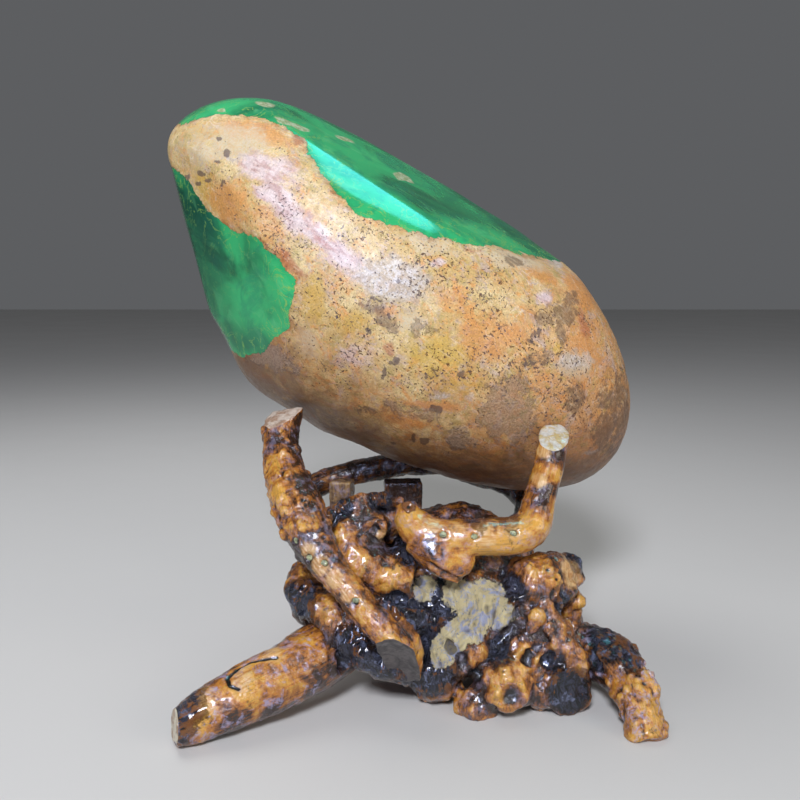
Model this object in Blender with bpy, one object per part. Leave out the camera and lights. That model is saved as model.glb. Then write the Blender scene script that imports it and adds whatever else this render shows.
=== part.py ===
"""A jade boulder with ground and polished windows, leaning on a stand of root wood.

Frame: metres, +Z up, +X to the right and +Y away from whoever faces the front.
The origin is on the table, under the middle of the bounding box.

The boulder is an oval lump, fuller above its axis at one end than at the other, whose
windows are planes ground off it. The stand is a knotted burl on roots, with two prongs
and a rail nailed to it, which hold the boulder from the front and from below.
"""
import math

import bmesh
import bpy
import numpy as np
from mathutils import Matrix, Vector, noise

MM = 0.001
GAP = 0.4 * MM                          # clearance between two pieces that touch
SEAT_GAP = 0.7 * MM                     # clearance of the limbs in their seats in the burl

# --- the boulder: its axis runs from the raised head (-1) to the lowered foot (+1)
STONE_CENTRE = Vector((-2.6, 32.0, 163.6)) * MM
STONE_HALF_LENGTH = 131.0 * MM
STONE_TILT = math.radians(36.5)         # of the axis below level, on the right
STONE_CELLS = 14                        # mesh cells along each edge of the starting cube
# Semi-axes of its cross-section, in mm, at even steps along the axis from -1 to +1
STONE_ABOVE = (64.0, 63.0, 61.0, 59.5, 61.0, 64.0, 68.5, 69.0, 70.0)
STONE_BELOW = (43.0, 56.0, 70.0, 77.5, 74.0, 69.0, 66.0, 65.0, 66.0)
STONE_FRONT = (54.0, 56.0, 58.0, 60.0, 62.0, 62.0, 61.0, 60.0, 58.0)
STONE_BACK = (50.0, 52.0, 54.0, 56.0, 57.0, 57.0, 56.0, 54.0, 52.0)
# Ground windows: (outward direction, depth ground off in mm, softness of its edge in mm)
STONE_WINDOWS = (
    ((0.455, -0.36, 0.83), 9.8, 2.0),   # long flat along the top
    ((0.28, -0.67, 0.68), 2.8, 1.5),    # bevel between that flat and the front
    ((-0.68, -0.71, -0.18), 8.0, 2.0),  # broad flat, front left
    ((-0.95, -0.25, -0.22), 3.0, 2.0),  # narrow flat, far left
)

# --- branches and roots: routes of (x, y, z, radius) in mm
LEFT_PRONG = (
    (4, -71, 19, 6.6), (-2, -69, 28, 7.8), (-8, -67, 36, 6.8), (-16, -64, 45, 6.0),
    (-24, -59, 54, 6.3), (-33, -53, 63, 7.5), (-40, -45, 73, 10.3), (-46, -35, 82, 10.6),
    (-51, -25, 91, 9.0), (-54, -14, 101, 8.0), (-53.5, -3, 116, 8.2),
)
RIGHT_PRONG = (
    (1, -37, 80, 4.2), (3, -41, 74, 7.0), (10, -45, 68.5, 8.6), (21, -47, 67, 7.4),
    (35, -47, 68, 7.0), (46, -45, 68, 7.2), (55, -42, 72, 7.8), (60, -36, 83, 6.8),
    (64, -28, 95, 5.9), (67, -19, 109, 5.8),
)
RIGHT_PRONG_LOBE = ((10, -47, 66, 7.6), (17, -51, 60, 6.2), (24, -53, 54.5, 3.4))
REAR_RAIL = (
    (-34, 30, 40, 6.8), (-46, 37, 47, 6.4), (-54, 44, 57, 6.0), (-46, 48, 66.5, 6.2),
    (-25, 52, 73, 6.4), (-2, 55, 76, 5.9), (18, 56, 76.5, 5.6), (40, 56, 71, 6.3),
    (57, 52, 65.5, 6.2), (64, 43, 58, 6.0), (60, 33, 51.5, 6.4), (51, 26, 47, 6.6),
)
LEFT_LEG = (
    (-10, -30, 25, 12.0), (-24, -40, 21.5, 12.4), (-35, -50, 19.5, 13.2), (-46, -60, 16.5, 12.6),
    (-62, -70, 12.5, 11.4), (-76, -79, 9.0, 9.6), (-87, -86, 6.5, 6.4),
)
RIGHT_LEG = (
    (66, -22, 17, 10.0), (78, -34, 16, 10.0), (87, -48, 15.5, 10.6), (91, -61, 12.5, 8.6),
    (92.5, -72, 6.5, 7.8), (93.5, -79, -2, 8.4),
)
REAR_LEFT_LEG = (
    (-4, 26, 28, 12.0), (-20, 40, 26, 11.5), (-36, 56, 20, 10.5), (-46, 70, 12, 9.5),
    (-52, 80, 5, 9.0), (-55, 84, -3, 8.6),
)
REAR_RIGHT_LEG = (
    (40, 24, 28, 12.0), (52, 42, 26, 11.0), (61, 60, 20, 9.8), (66, 73, 11, 9.2),
    (69, 80, 3, 9.0), (70, 83, -4, 8.6),
)

# --- the burl: lumps of (x, y, z, x radius, y radius, z radius) and strands, in mm
BURL_LUMPS = (
    (14, 6, 34, 46, 36, 25), (26, 34, 40, 32, 20, 20), (-14, 30, 44, 22, 20, 15),
    (-26, -20, 67, 11, 12, 9), (-8, -20, 68, 11, 12, 10), (10, -20, 50, 18, 20, 17),
    (34, -20, 46, 18, 20, 17), (7, -36, 31, 17, 16, 15), (31, -36, 29, 20, 19, 19),
    (13, -50, 13, 12, 13, 12), (25, -55, 27, 6, 6, 6), (55, -40, 49, 12, 13, 10),
    (71, -26, 46, 8, 11, 8), (55, -44, 34, 10, 10, 9), (54, -55, 37, 4, 4, 4),
    (57, -45, 20, 12, 13, 13), (41, -58, 12, 13, 13, 12), (66, -56, 9, 11, 12, 11),
    (-42, -34, 46, 8, 9, 7), (-39, -40, 37, 9, 9, 8), (-16, -12, 52, 16, 18, 14),
    (30, -60, 3, 9, 8, 8), (28, -34, 40, 18, 17, 14), (70, -27, 33, 8, 11, 12),
    (-35, 31, 41, 14, 13, 12), (52, 30, 40, 14, 14, 13),
)
BURL_STRANDS = (
    ((-10, -40, 69, 6.5), (-20, -34, 72, 7.6), (-26, -38, 64, 7.5), (-21, -43, 56, 7.6),
     (-10, -47, 51, 7.4), (3, -48, 49, 7.0)),
    ((-44, -36, 47, 6.5), (-40, -43, 40, 7.6), (-30, -49, 36, 8.6), (-18, -54, 28, 9.4),
     (-6, -58, 20, 7.6), (4, -56, 14, 6.0)),
    ((77, -24, 35, 3.6), (73, -31, 26, 5.6), (75, -38, 18, 7.4), (79, -50, 14, 4.0)),
    ((57, -43, 44, 8.0), (59, -51, 34, 7.0), (63, -53, 23, 7.4), (72, -47, 14, 7.6)),
)
BURL_CELL = 2.6 * MM                    # size of the cells that fuse its lumps
BURL_TRIANGLES = 2000
BURL_RELIEF = 2.0 * MM                  # height of the gnarled surface's swells
BURL_RELIEF_SIZE = 11.0 * MM

# --- packing blocks under the rail: (centre, size) in mm, and turn about Z in degrees
SQUARE_BLOCK = ((0, 42, 63), (19, 11, 16), 4.0)
WEDGE_BLOCK = ((-31, 38, 65), (11, 10, 14), -12.0)

# --- plugs in the prongs' nail holes: position along the route (0 to 1), turn about it
PLUG_RADIUS = 1.7 * MM
PLUG_LENGTH = 3.2 * MM
PLUG_RECESS = 0.3 * MM
LEFT_PLUGS = ((0.275, 0.0), (0.42, 0.0), (0.455, -38.0), (0.51, -40.0))
RIGHT_PLUGS = ((0.235, -20.0), (0.345, -15.0), (0.475, -15.0))

# --- colours (linear RGB), roughness
STONE_LOOK = ((0.42, 0.24, 0.12), 0.45)
GOLDEN_WOOD = ((0.36, 0.14, 0.03), 0.25)
DARK_WOOD = ((0.11, 0.055, 0.022), 0.3)
BURL_WOOD = ((0.18, 0.09, 0.04), 0.35)
PALE_WOOD = ((0.45, 0.36, 0.22), 0.6)
FILLER = ((0.5, 0.52, 0.42), 0.6)


def clear_scene():
    """Remove whatever the open file holds."""
    for obj in list(bpy.data.objects):
        bpy.data.objects.remove(obj, do_unlink=True)


def add_object(name, mesh, look=None):
    """Link an object for the mesh; with a look it is a piece, without one a guide."""
    obj = bpy.data.objects.new(name, mesh)
    bpy.context.scene.collection.objects.link(obj)
    if look is None:
        obj.hide_render = True
        obj.display_type = "WIRE"
        return obj
    colour, roughness = look
    material = bpy.data.materials.new(name)
    material.use_nodes = True
    shader = material.node_tree.nodes["Principled BSDF"]
    shader.inputs["Base Color"].default_value = (*colour, 1.0)
    shader.inputs["Roughness"].default_value = roughness
    shader.inputs["Metallic"].default_value = 0.0
    mesh.materials.clear()
    mesh.materials.append(material)
    mesh.shade_smooth()
    return obj


def mesh_of(name, bm):
    """Turn a bmesh into a mesh whose faces point outwards."""
    bmesh.ops.recalc_face_normals(bm, faces=bm.faces[:])
    mesh = bpy.data.meshes.new(name)
    bm.to_mesh(mesh)
    bm.free()
    return mesh


def evaluated_mesh(obj):
    """Return a plain mesh of the object with its modifiers applied."""
    depsgraph = bpy.context.evaluated_depsgraph_get()
    return bpy.data.meshes.new_from_object(obj.evaluated_get(depsgraph))


# ------------------------------------------------------------------ the boulder
def ball(cells):
    """Make a unit ball whose faces are a grid on each side of a cube."""
    bm = bmesh.new()
    bmesh.ops.create_cube(bm, size=2.0)
    bmesh.ops.subdivide_edges(bm, edges=bm.edges[:], cuts=cells - 1, use_grid_fill=True)
    for vertex in bm.verts:
        even = Vector([math.tan(c * math.pi / 4.0) for c in vertex.co])
        vertex.co = even.normalized()
    return bm


def semi_axis(table, station):
    """Read a table of semi-axes at a station from -1 to +1, smoothly."""
    place = (station + 1.0) / 2.0 * (len(table) - 1)
    first = min(int(place), len(table) - 2)
    part = place - first
    eased = part * part * (3.0 - 2.0 * part)
    return (table[first] * (1.0 - eased) + table[first + 1] * eased) * MM


def lump_point(direction):
    """Put a point of the unit ball on the boulder as found, in the boulder's own axes."""
    along, depth, height = direction
    side = STONE_BACK if depth > 0.0 else STONE_FRONT
    rise = STONE_ABOVE if height > 0.0 else STONE_BELOW
    return Vector((along * STONE_HALF_LENGTH, depth * semi_axis(side, along),
                   height * semi_axis(rise, along)))


def grind(points, window):
    """Press the points that stand beyond a window's plane back onto it."""
    direction, depth, softness = window
    normal = np.array(Vector(direction).normalized())
    height = points @ normal
    over = height - (height.max() - depth * MM)
    over = (over + np.sqrt(over * over + (softness * MM) ** 2)) / 2.0
    return points - over[:, None] * normal


def boulder_mesh(name, grow=0.0):
    """Build the ground boulder where it rests, grown outwards all over by `grow`."""
    bm = ball(STONE_CELLS)
    turn = Matrix.Rotation(STONE_TILT, 3, "Y")
    points = np.array([STONE_CENTRE + turn @ lump_point(v.co) for v in bm.verts])
    for window in STONE_WINDOWS:
        points = grind(points, window)
    for vertex, point in zip(bm.verts, points):
        vertex.co = point
    bm.normal_update()
    if grow:
        for vertex in bm.verts:
            vertex.co += vertex.normal * grow
    bmesh.ops.triangulate(bm, faces=bm.faces[:])
    return mesh_of(name, bm)


# ------------------------------------------------------------ branches and roots
def smooth_route(points, step):
    """Pass a smooth curve through (x, y, z, radius) points, sampled about `step` apart."""
    knots = [np.array(p, dtype=float) * MM for p in points]
    knots = [2.0 * knots[0] - knots[1], *knots, 2.0 * knots[-1] - knots[-2]]
    samples = []
    for a, b, c, d in zip(knots, knots[1:], knots[2:], knots[3:]):
        count = max(1, round(np.linalg.norm(c[:3] - b[:3]) / step))
        for index in range(count):
            t = index / count
            samples.append(0.5 * (2.0 * b + (c - a) * t + (2.0 * a - 5.0 * b + 4.0 * c - d) * t * t
                                  + (3.0 * b - a - 3.0 * c + d) * t ** 3))
    samples.append(knots[-2])
    return np.array(samples)


def limb(points, sides, step, relief=0.08, relief_size=14.0 * MM, grow=0.0):
    """Build a closed round limb along a route, with a gently uneven girth."""
    route = smooth_route(points, step)
    bm = bmesh.new()
    across = Vector((0.0, 0.0, 1.0))
    rings = []
    for index, sample in enumerate(route):
        ahead = Vector(route[min(index + 1, len(route) - 1)][:3])
        behind = Vector(route[max(index - 1, 0)][:3])
        along = (ahead - behind).normalized()
        across = (across - along * across.dot(along)).normalized()
        other = along.cross(across)
        centre = Vector(sample[:3])
        ring = []
        for side in range(sides):
            angle = 2.0 * math.pi * side / sides
            outward = across * math.cos(angle) + other * math.sin(angle)
            uneven = 1.0 + relief * noise.noise((centre + outward * sample[3]) / relief_size)
            ring.append(bm.verts.new(centre + outward * (sample[3] * uneven + grow)))
        rings.append(ring)
    for ring, following in zip(rings, rings[1:]):
        for side in range(sides):
            beside = (side + 1) % sides
            bm.faces.new((ring[side], ring[beside], following[beside], following[side]))
    bm.faces.new(rings[0])
    bm.faces.new(rings[-1])
    return bm


def saw(bm, point, normal):
    """Cut off what lies beyond a plane and close the cut with a flat face."""
    geometry = bm.verts[:] + bm.edges[:] + bm.faces[:]
    cut = bmesh.ops.bisect_plane(bm, geom=geometry, dist=1e-6, plane_co=point,
                                 plane_no=Vector(normal), clear_outer=True)
    rim = [e for e in cut["geom_cut"] if isinstance(e, bmesh.types.BMEdge)]
    bmesh.ops.holes_fill(bm, edges=rim, sides=0)


def route_frame(points, share):
    """Return the place, direction and radius at a share of the way along a route."""
    route = smooth_route(points, 2.0 * MM)
    index = round(share * (len(route) - 2))
    along = Vector(route[index + 1][:3] - route[index][:3]).normalized()
    return Vector(route[index][:3]), along, route[index][3]


# --------------------------------------------------------------------- the burl
def ellipsoid(bm, lump):
    """Add an ellipsoid of (centre, radii) in mm to a bmesh."""
    place = Matrix.Translation(Vector(lump[:3]) * MM)
    size = Matrix.Diagonal((*(Vector(lump[3:]) * MM), 1.0))
    bmesh.ops.create_icosphere(bm, subdivisions=3, radius=1.0, matrix=place @ size)


def append(bm, other):
    """Add a copy of another bmesh, and free that one."""
    mesh = mesh_of("appended", other)
    bm.from_mesh(mesh)
    bpy.data.meshes.remove(mesh)


def fused(name, bm, cell, triangles):
    """Fuse overlapping closed shapes into one skin of about so many triangles."""
    mesh = bpy.data.meshes.new(name)
    bm.to_mesh(mesh)
    bm.free()
    guide = add_object(name + "_guide", mesh)
    remesh = guide.modifiers.new("fuse", "REMESH")
    remesh.mode = "VOXEL"
    remesh.voxel_size = cell
    skin = evaluated_mesh(guide)
    bpy.data.objects.remove(guide, do_unlink=True)
    for vertex in skin.vertices:
        swell = noise.fractal(vertex.co / BURL_RELIEF_SIZE, 0.6, 2.0, 3)
        vertex.co += vertex.normal * swell * BURL_RELIEF
    guide = add_object(name + "_guide", skin)
    skin.calc_loop_triangles()
    thin = guide.modifiers.new("thin", "DECIMATE")
    thin.ratio = triangles / len(skin.loop_triangles)
    thin.use_collapse_triangulate = True
    result = evaluated_mesh(guide)
    bpy.data.objects.remove(guide, do_unlink=True)
    return result


def keep_largest_body(mesh):
    """Drop the loose chips that a cut leaves beside the main body."""
    bm = bmesh.new()
    bm.from_mesh(mesh)
    bmesh.ops.dissolve_degenerate(bm, dist=0.00002, edges=bm.edges[:])
    bmesh.ops.triangulate(bm, faces=bm.faces[:])
    unseen = set(bm.verts)
    bodies = []
    while unseen:
        body = {unseen.pop()}
        edge_of_search = list(body)
        while edge_of_search:
            vertex = edge_of_search.pop()
            for link in vertex.link_edges:
                neighbour = link.other_vert(vertex)
                if neighbour in unseen:
                    unseen.discard(neighbour)
                    body.add(neighbour)
                    edge_of_search.append(neighbour)
        bodies.append(body)
    bodies.sort(key=len)
    for body in bodies[:-1]:
        bmesh.ops.delete(bm, geom=list(body), context="VERTS")
    bm.to_mesh(mesh)
    bm.free()


def cut(obj, cutters, operation="DIFFERENCE"):
    """Give the object one live Boolean for each cutter."""
    for cutter in cutters:
        modifier = obj.modifiers.new(cutter.name, "BOOLEAN")
        modifier.operation = operation
        modifier.solver = "EXACT"
        modifier.object = cutter


def settle(obj):
    """Apply the object's modifiers and keep only its largest body."""
    mesh = evaluated_mesh(obj)
    obj.modifiers.clear()
    keep_largest_body(mesh)
    obj.data = mesh
    mesh.shade_smooth()


# ----------------------------------------------------------------- small pieces
def block_mesh(name, block, grow=0.0):
    """Build a packing block with eased edges, grown all round by `grow`."""
    centre, size, turn = block
    bm = bmesh.new()
    scale = Matrix.Diagonal((*(Vector(size) * MM + Vector((2 * grow,) * 3)), 1.0))
    place = Matrix.Translation(Vector(centre) * MM) @ Matrix.Rotation(math.radians(turn), 4, "Z")
    bmesh.ops.create_cube(bm, size=1.0, matrix=place @ scale)
    return mesh_of(name, bm)


def plug_mesh(name, points, share, turn, grow=0.0):
    """Build the plug of a nail hole, square to the front of the limb it sits in."""
    place, along, radius = route_frame(points, share)
    outward = Vector((0.0, -1.0, 0.35))
    outward = (outward - along * outward.dot(along)).normalized()
    outward = Matrix.Rotation(math.radians(turn), 3, along) @ outward
    end = place + outward * (radius - PLUG_RECESS + (2.0 * MM if grow else 0.0))
    start = place + outward * (radius - PLUG_RECESS - PLUG_LENGTH - grow)
    bm = bmesh.new()
    turned = outward.to_track_quat("Z", "Y").to_matrix().to_4x4()
    bmesh.ops.create_cone(bm, cap_ends=True, segments=8, radius1=PLUG_RADIUS + grow,
                          radius2=PLUG_RADIUS + grow, depth=(end - start).length,
                          matrix=Matrix.Translation((start + end) / 2.0) @ turned)
    return mesh_of(name, bm)


LIMBS = {
    "left_prong": (LEFT_PRONG, 12, 3.6 * MM, 0.22, GOLDEN_WOOD),
    "right_prong": (RIGHT_PRONG, 12, 3.6 * MM, 0.10, GOLDEN_WOOD),
    "rear_rail": (REAR_RAIL, 10, 7.5 * MM, 0.12, DARK_WOOD),
    "left_leg": (LEFT_LEG, 14, 5.0 * MM, 0.12, GOLDEN_WOOD),
    "right_leg": (RIGHT_LEG, 12, 5.0 * MM, 0.25, GOLDEN_WOOD),
    "rear_left_leg": (REAR_LEFT_LEG, 12, 6.0 * MM, 0.20, GOLDEN_WOOD),
    "rear_right_leg": (REAR_RIGHT_LEG, 12, 6.0 * MM, 0.20, GOLDEN_WOOD),
}
# Sawn ends: (limb, point in mm, outward direction)
SAWN_ENDS = (
    ("left_prong", (-53.5, -6, 113), (-0.25, -0.55, 0.80)),
    ("left_prong", (0, -70, 22), (0.55, -0.62, -0.56)),
    ("right_prong", (66, -22, 106), (0.05, -0.62, 0.78)),
    ("left_leg", (-86, -85, 6.5), (-0.9, -0.4, 0.1)),
)
FEET = ("left_leg", "right_leg", "rear_left_leg", "rear_right_leg")


def limb_mesh(name, suffix="", grow=0.0):
    """Build one limb by name, sawn where it is sawn, grown all over by `grow`."""
    points, sides, step, relief, _ = LIMBS[name]
    bm = limb(points, sides, step, relief=relief, grow=grow)
    for sawn, point, direction in SAWN_ENDS:
        if sawn == name:
            normal = Vector(direction).normalized()
            saw(bm, Vector(point) * MM + normal * grow, normal)
    if name in FEET:
        saw(bm, Vector((0.0, 0.0, -grow)), (0.0, 0.0, -1.0))
    return mesh_of(name + suffix, bm)


def build_lobe(grow=0.0):
    """Build the lobe that hangs under the right prong, as a guide."""
    bm = limb(RIGHT_PRONG_LOBE, 10, 3.6 * MM, grow=grow)
    return add_object("lobe_guide", mesh_of("lobe_guide", bm))


def build_burl():
    """Fuse the burl's lumps and strands and saw its base flat on the table."""
    bm = bmesh.new()
    for lump in BURL_LUMPS:
        ellipsoid(bm, lump)
    for strand in BURL_STRANDS:
        append(bm, limb(strand, 12, 3.0 * MM))
    mesh = fused("burl", bm, BURL_CELL, BURL_TRIANGLES)
    bm = bmesh.new()
    bm.from_mesh(mesh)
    saw(bm, Vector((0.0, 0.0, 0.0)), (0.0, 0.0, -1.0))
    return add_object("burl", mesh_of("burl", bm), BURL_WOOD)


def main():
    """Build every piece, then cut each one clear of those it bears on."""
    clear_scene()
    add_object("jade_boulder", boulder_mesh("jade_boulder"), STONE_LOOK)
    stone_clearance = add_object("boulder_clearance", boulder_mesh("boulder_clearance", GAP))
    limbs, clearances = {}, {}
    for name, (*_, look) in LIMBS.items():
        limbs[name] = add_object(name, limb_mesh(name), look)
        guide = add_object(name + "_clearance", limb_mesh(name, "_clearance", SEAT_GAP))
        clearances[name] = guide
    cut(limbs["right_prong"], [build_lobe()], "UNION")
    cut(clearances["right_prong"], [build_lobe(SEAT_GAP)], "UNION")
    for name in ("left_prong", "right_prong", "rear_rail"):
        cut(limbs[name], [stone_clearance])

    burl = build_burl()
    blocks = {"square_block": (SQUARE_BLOCK, DARK_WOOD), "wedge_block": (WEDGE_BLOCK, PALE_WOOD)}
    for name, (block, look) in blocks.items():
        piece = add_object(name, block_mesh(name, block), look)
        cut(piece, [clearances["rear_rail"]])
        guide = add_object(name + "_clearance", block_mesh(name, block, SEAT_GAP))
        clearances[name] = guide
    cut(burl, [*clearances.values(), stone_clearance])
    settle(burl)

    for name, points, plugs in (("left_prong", LEFT_PRONG, LEFT_PLUGS),
                                ("right_prong", RIGHT_PRONG, RIGHT_PLUGS)):
        for number, (share, turn) in enumerate(plugs, start=1):
            title = f"{name}_plug_{number}"
            add_object(title, plug_mesh(title, points, share, turn), FILLER)
            socket = add_object(title + "_socket", plug_mesh(title, points, share, turn, GAP))
            cut(limbs[name], [socket])


main()
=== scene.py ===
"""The looks of a jade boulder with ground windows, leaning on its root wood stand.

The boulder is one lump of jade in a weathered crust. The stand is a gnarled burl on
roots, with two prongs and a rail nailed to it, all under a glossy clear lacquer.
Lengths in the tables are millimetres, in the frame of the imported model.
"""
from __future__ import annotations

import logging
import math
from dataclasses import dataclass, field
from enum import Enum
from typing import Any, Sequence

import bmesh
import bpy
import numpy as np
from mathutils import Matrix, Vector, noise
from mathutils.bvhtree import BVHTree


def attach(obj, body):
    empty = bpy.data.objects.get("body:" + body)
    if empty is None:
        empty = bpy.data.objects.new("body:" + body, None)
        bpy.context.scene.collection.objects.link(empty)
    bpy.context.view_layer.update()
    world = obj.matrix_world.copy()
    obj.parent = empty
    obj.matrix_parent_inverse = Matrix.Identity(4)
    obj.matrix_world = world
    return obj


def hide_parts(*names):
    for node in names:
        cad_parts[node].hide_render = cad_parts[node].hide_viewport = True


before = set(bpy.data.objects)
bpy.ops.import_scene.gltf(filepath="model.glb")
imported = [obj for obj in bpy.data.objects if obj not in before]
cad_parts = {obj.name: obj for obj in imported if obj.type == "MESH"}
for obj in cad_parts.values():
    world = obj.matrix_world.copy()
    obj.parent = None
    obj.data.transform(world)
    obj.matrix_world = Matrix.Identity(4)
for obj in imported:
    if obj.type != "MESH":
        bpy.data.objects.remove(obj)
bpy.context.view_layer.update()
MM = 0.001
BODY = "root"
LOG = logging.getLogger("jade_boulder")

Socket = bpy.types.NodeSocket
Colour = tuple[float, float, float]
Route = Sequence[tuple[float, float, float, float]]
Spots = Sequence[tuple[float, float, float, float, float]]


def tone(red: float, green: float, blue: float) -> Colour:
    """Turn a display colour from 0 to 255 into linear light.

    Args:
        red: The red part.
        green: The green part.
        blue: The blue part.

    Returns:
        The linear colour.
    """
    parts = [c / 255.0 for c in (red, green, blue)]
    return tuple(c / 12.92 if c <= 0.04045 else ((c + 0.055) / 1.055) ** 2.4 for c in parts)


# ------------------------------------------------------------------- node building
class Graph:
    """Adds nodes to a tree and links them."""

    def __init__(self, tree: bpy.types.NodeTree) -> None:
        """Keep the tree that the nodes go into."""
        self.tree = tree

    def feed(self, socket: Socket, value: Any) -> None:
        """Link a socket to an input, or set the input's value.

        Args:
            socket: The input.
            value: An output socket or a plain value.
        """
        if isinstance(value, Socket):
            self.tree.links.new(value, socket)
        elif socket.type == "RGBA" and len(value) == 3:
            socket.default_value = (*value, 1.0)
        else:
            socket.default_value = value

    def add(self, kind: str, settings: dict[str, Any] | None = None,
            inputs: dict[Any, Any] | None = None) -> bpy.types.Node:
        """Add a node.

        Args:
            kind: Blender's name of the node type.
            settings: Its properties.
            inputs: Values or sockets for its inputs, by name or number.

        Returns:
            The node.
        """
        node = self.tree.nodes.new(kind)
        for name, value in (settings or {}).items():
            setattr(node, name, value)
        for key, value in (inputs or {}).items():
            self.feed(node.inputs[key], value)
        return node

    def math(self, operation: str, first: Any, second: Any = 0.0, third: Any = 0.0) -> Socket:
        """Work out a sum on one to three values.

        Args:
            operation: Blender's name of the sum.
            first: The first value.
            second: The second value.
            third: The third value.

        Returns:
            The result's socket.
        """
        node = self.add("ShaderNodeMath", {"operation": operation},
                        {0: first, 1: second, 2: third})
        return node.outputs[0]

    def mix(self, factor: Any, first: Any, second: Any, blend: str = "MIX") -> Socket:
        """Mix two colours.

        Args:
            factor: The share of the second colour.
            first: The first colour.
            second: The second colour.
            blend: Blender's name of the blend.

        Returns:
            The colour's socket.
        """
        node = self.add("ShaderNodeMix", {"data_type": "RGBA", "blend_type": blend},
                        {0: factor, 6: first, 7: second})
        return node.outputs[2]

    def mix_value(self, factor: Any, first: Any, second: Any) -> Socket:
        """Mix two values by a factor."""
        return self.add("ShaderNodeMix", {"data_type": "FLOAT"},
                        {0: factor, 2: first, 3: second}).outputs[0]

    def remap(self, value: Any, low: Any, high: Any, start: Any = 0.0, end: Any = 1.0,
              smooth: bool = True) -> Socket:
        """Map a range of values onto another, and hold it at both ends.

        Args:
            value: The value.
            low: The value that becomes `start`.
            high: The value that becomes `end`.
            start: The result at `low`.
            end: The result at `high`.
            smooth: Whether the change eases in and out.

        Returns:
            The result's socket.
        """
        kind = "SMOOTHSTEP" if smooth else "LINEAR"
        node = self.add("ShaderNodeMapRange", {"interpolation_type": kind},
                        {0: value, 1: low, 2: high, 3: start, 4: end})
        return node.outputs[0]

    def noise(self, vector: Any, size: float, detail: float = 4.0, roughness: float = 0.55,
              distortion: float = 0.0, colour: bool = False) -> Socket:
        """Add a cloudy noise whose clouds are about `size` millimetres across.

        Args:
            vector: Where it is read.
            size: The size of its clouds in mm.
            detail: How many finer layers it has.
            roughness: How strong the finer layers are.
            distortion: How far it is swirled.
            colour: Whether to return its colour and not its value.

        Returns:
            The value's or the colour's socket.
        """
        node = self.add("ShaderNodeTexNoise", None,
                        {"Vector": vector, "Scale": 1000.0 / size, "Detail": detail,
                         "Roughness": roughness, "Distortion": distortion})
        return node.outputs["Color" if colour else "Fac"]

    def cells(self, vector: Any, size: Any, feature: str = "F1") -> bpy.types.Node:
        """Add a cell pattern.

        Args:
            vector: Where it is read.
            size: The size of a cell in mm.
            feature: Which measure of the cells it gives.

        Returns:
            The Voronoi node.
        """
        scale = self.math("DIVIDE", 1000.0, size) if isinstance(size, Socket) else 1000.0 / size
        return self.add("ShaderNodeTexVoronoi", {"feature": feature},
                        {"Vector": vector, "Scale": scale})

    def stretched(self, vector: Any, scale: Colour, turn: Colour = (0.0, 0.0, 0.0)) -> Socket:
        """Turn and scale a pattern's coordinates.

        Args:
            vector: The coordinates.
            scale: The factor along each axis.
            turn: The turn about each axis in radians.

        Returns:
            The new coordinates' socket.
        """
        node = self.add("ShaderNodeMapping", None,
                        {"Vector": vector, "Rotation": turn, "Scale": scale})
        return node.outputs[0]

    def attribute(self, name: str) -> bpy.types.Node:
        """Add a reader of a mesh attribute."""
        return self.add("ShaderNodeAttribute", {"attribute_name": name})

    def split(self, colour: Socket) -> tuple[Socket, Socket, Socket]:
        """Split a colour into its three parts."""
        node = self.add("ShaderNodeSeparateColor", None, {0: colour})
        return node.outputs[0], node.outputs[1], node.outputs[2]

    def bump(self, height: Any, distance: float, normal: Any = None) -> Socket:
        """Tilt the surface by a height that stands for `distance` millimetres.

        Args:
            height: The height from 0 to 1.
            distance: What a height of 1 stands for, in mm.
            normal: The normal that it starts from.

        Returns:
            The normal's socket.
        """
        node = self.add("ShaderNodeBump", None, {"Height": height, "Distance": distance * MM})
        if normal is not None:
            self.feed(node.inputs["Normal"], normal)
        return node.outputs[0]

    def group(self, tree: bpy.types.NodeTree, inputs: dict[str, Any]) -> bpy.types.Node:
        """Place a shader group with its own values."""
        return self.add("ShaderNodeGroup", {"node_tree": tree}, inputs)


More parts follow.
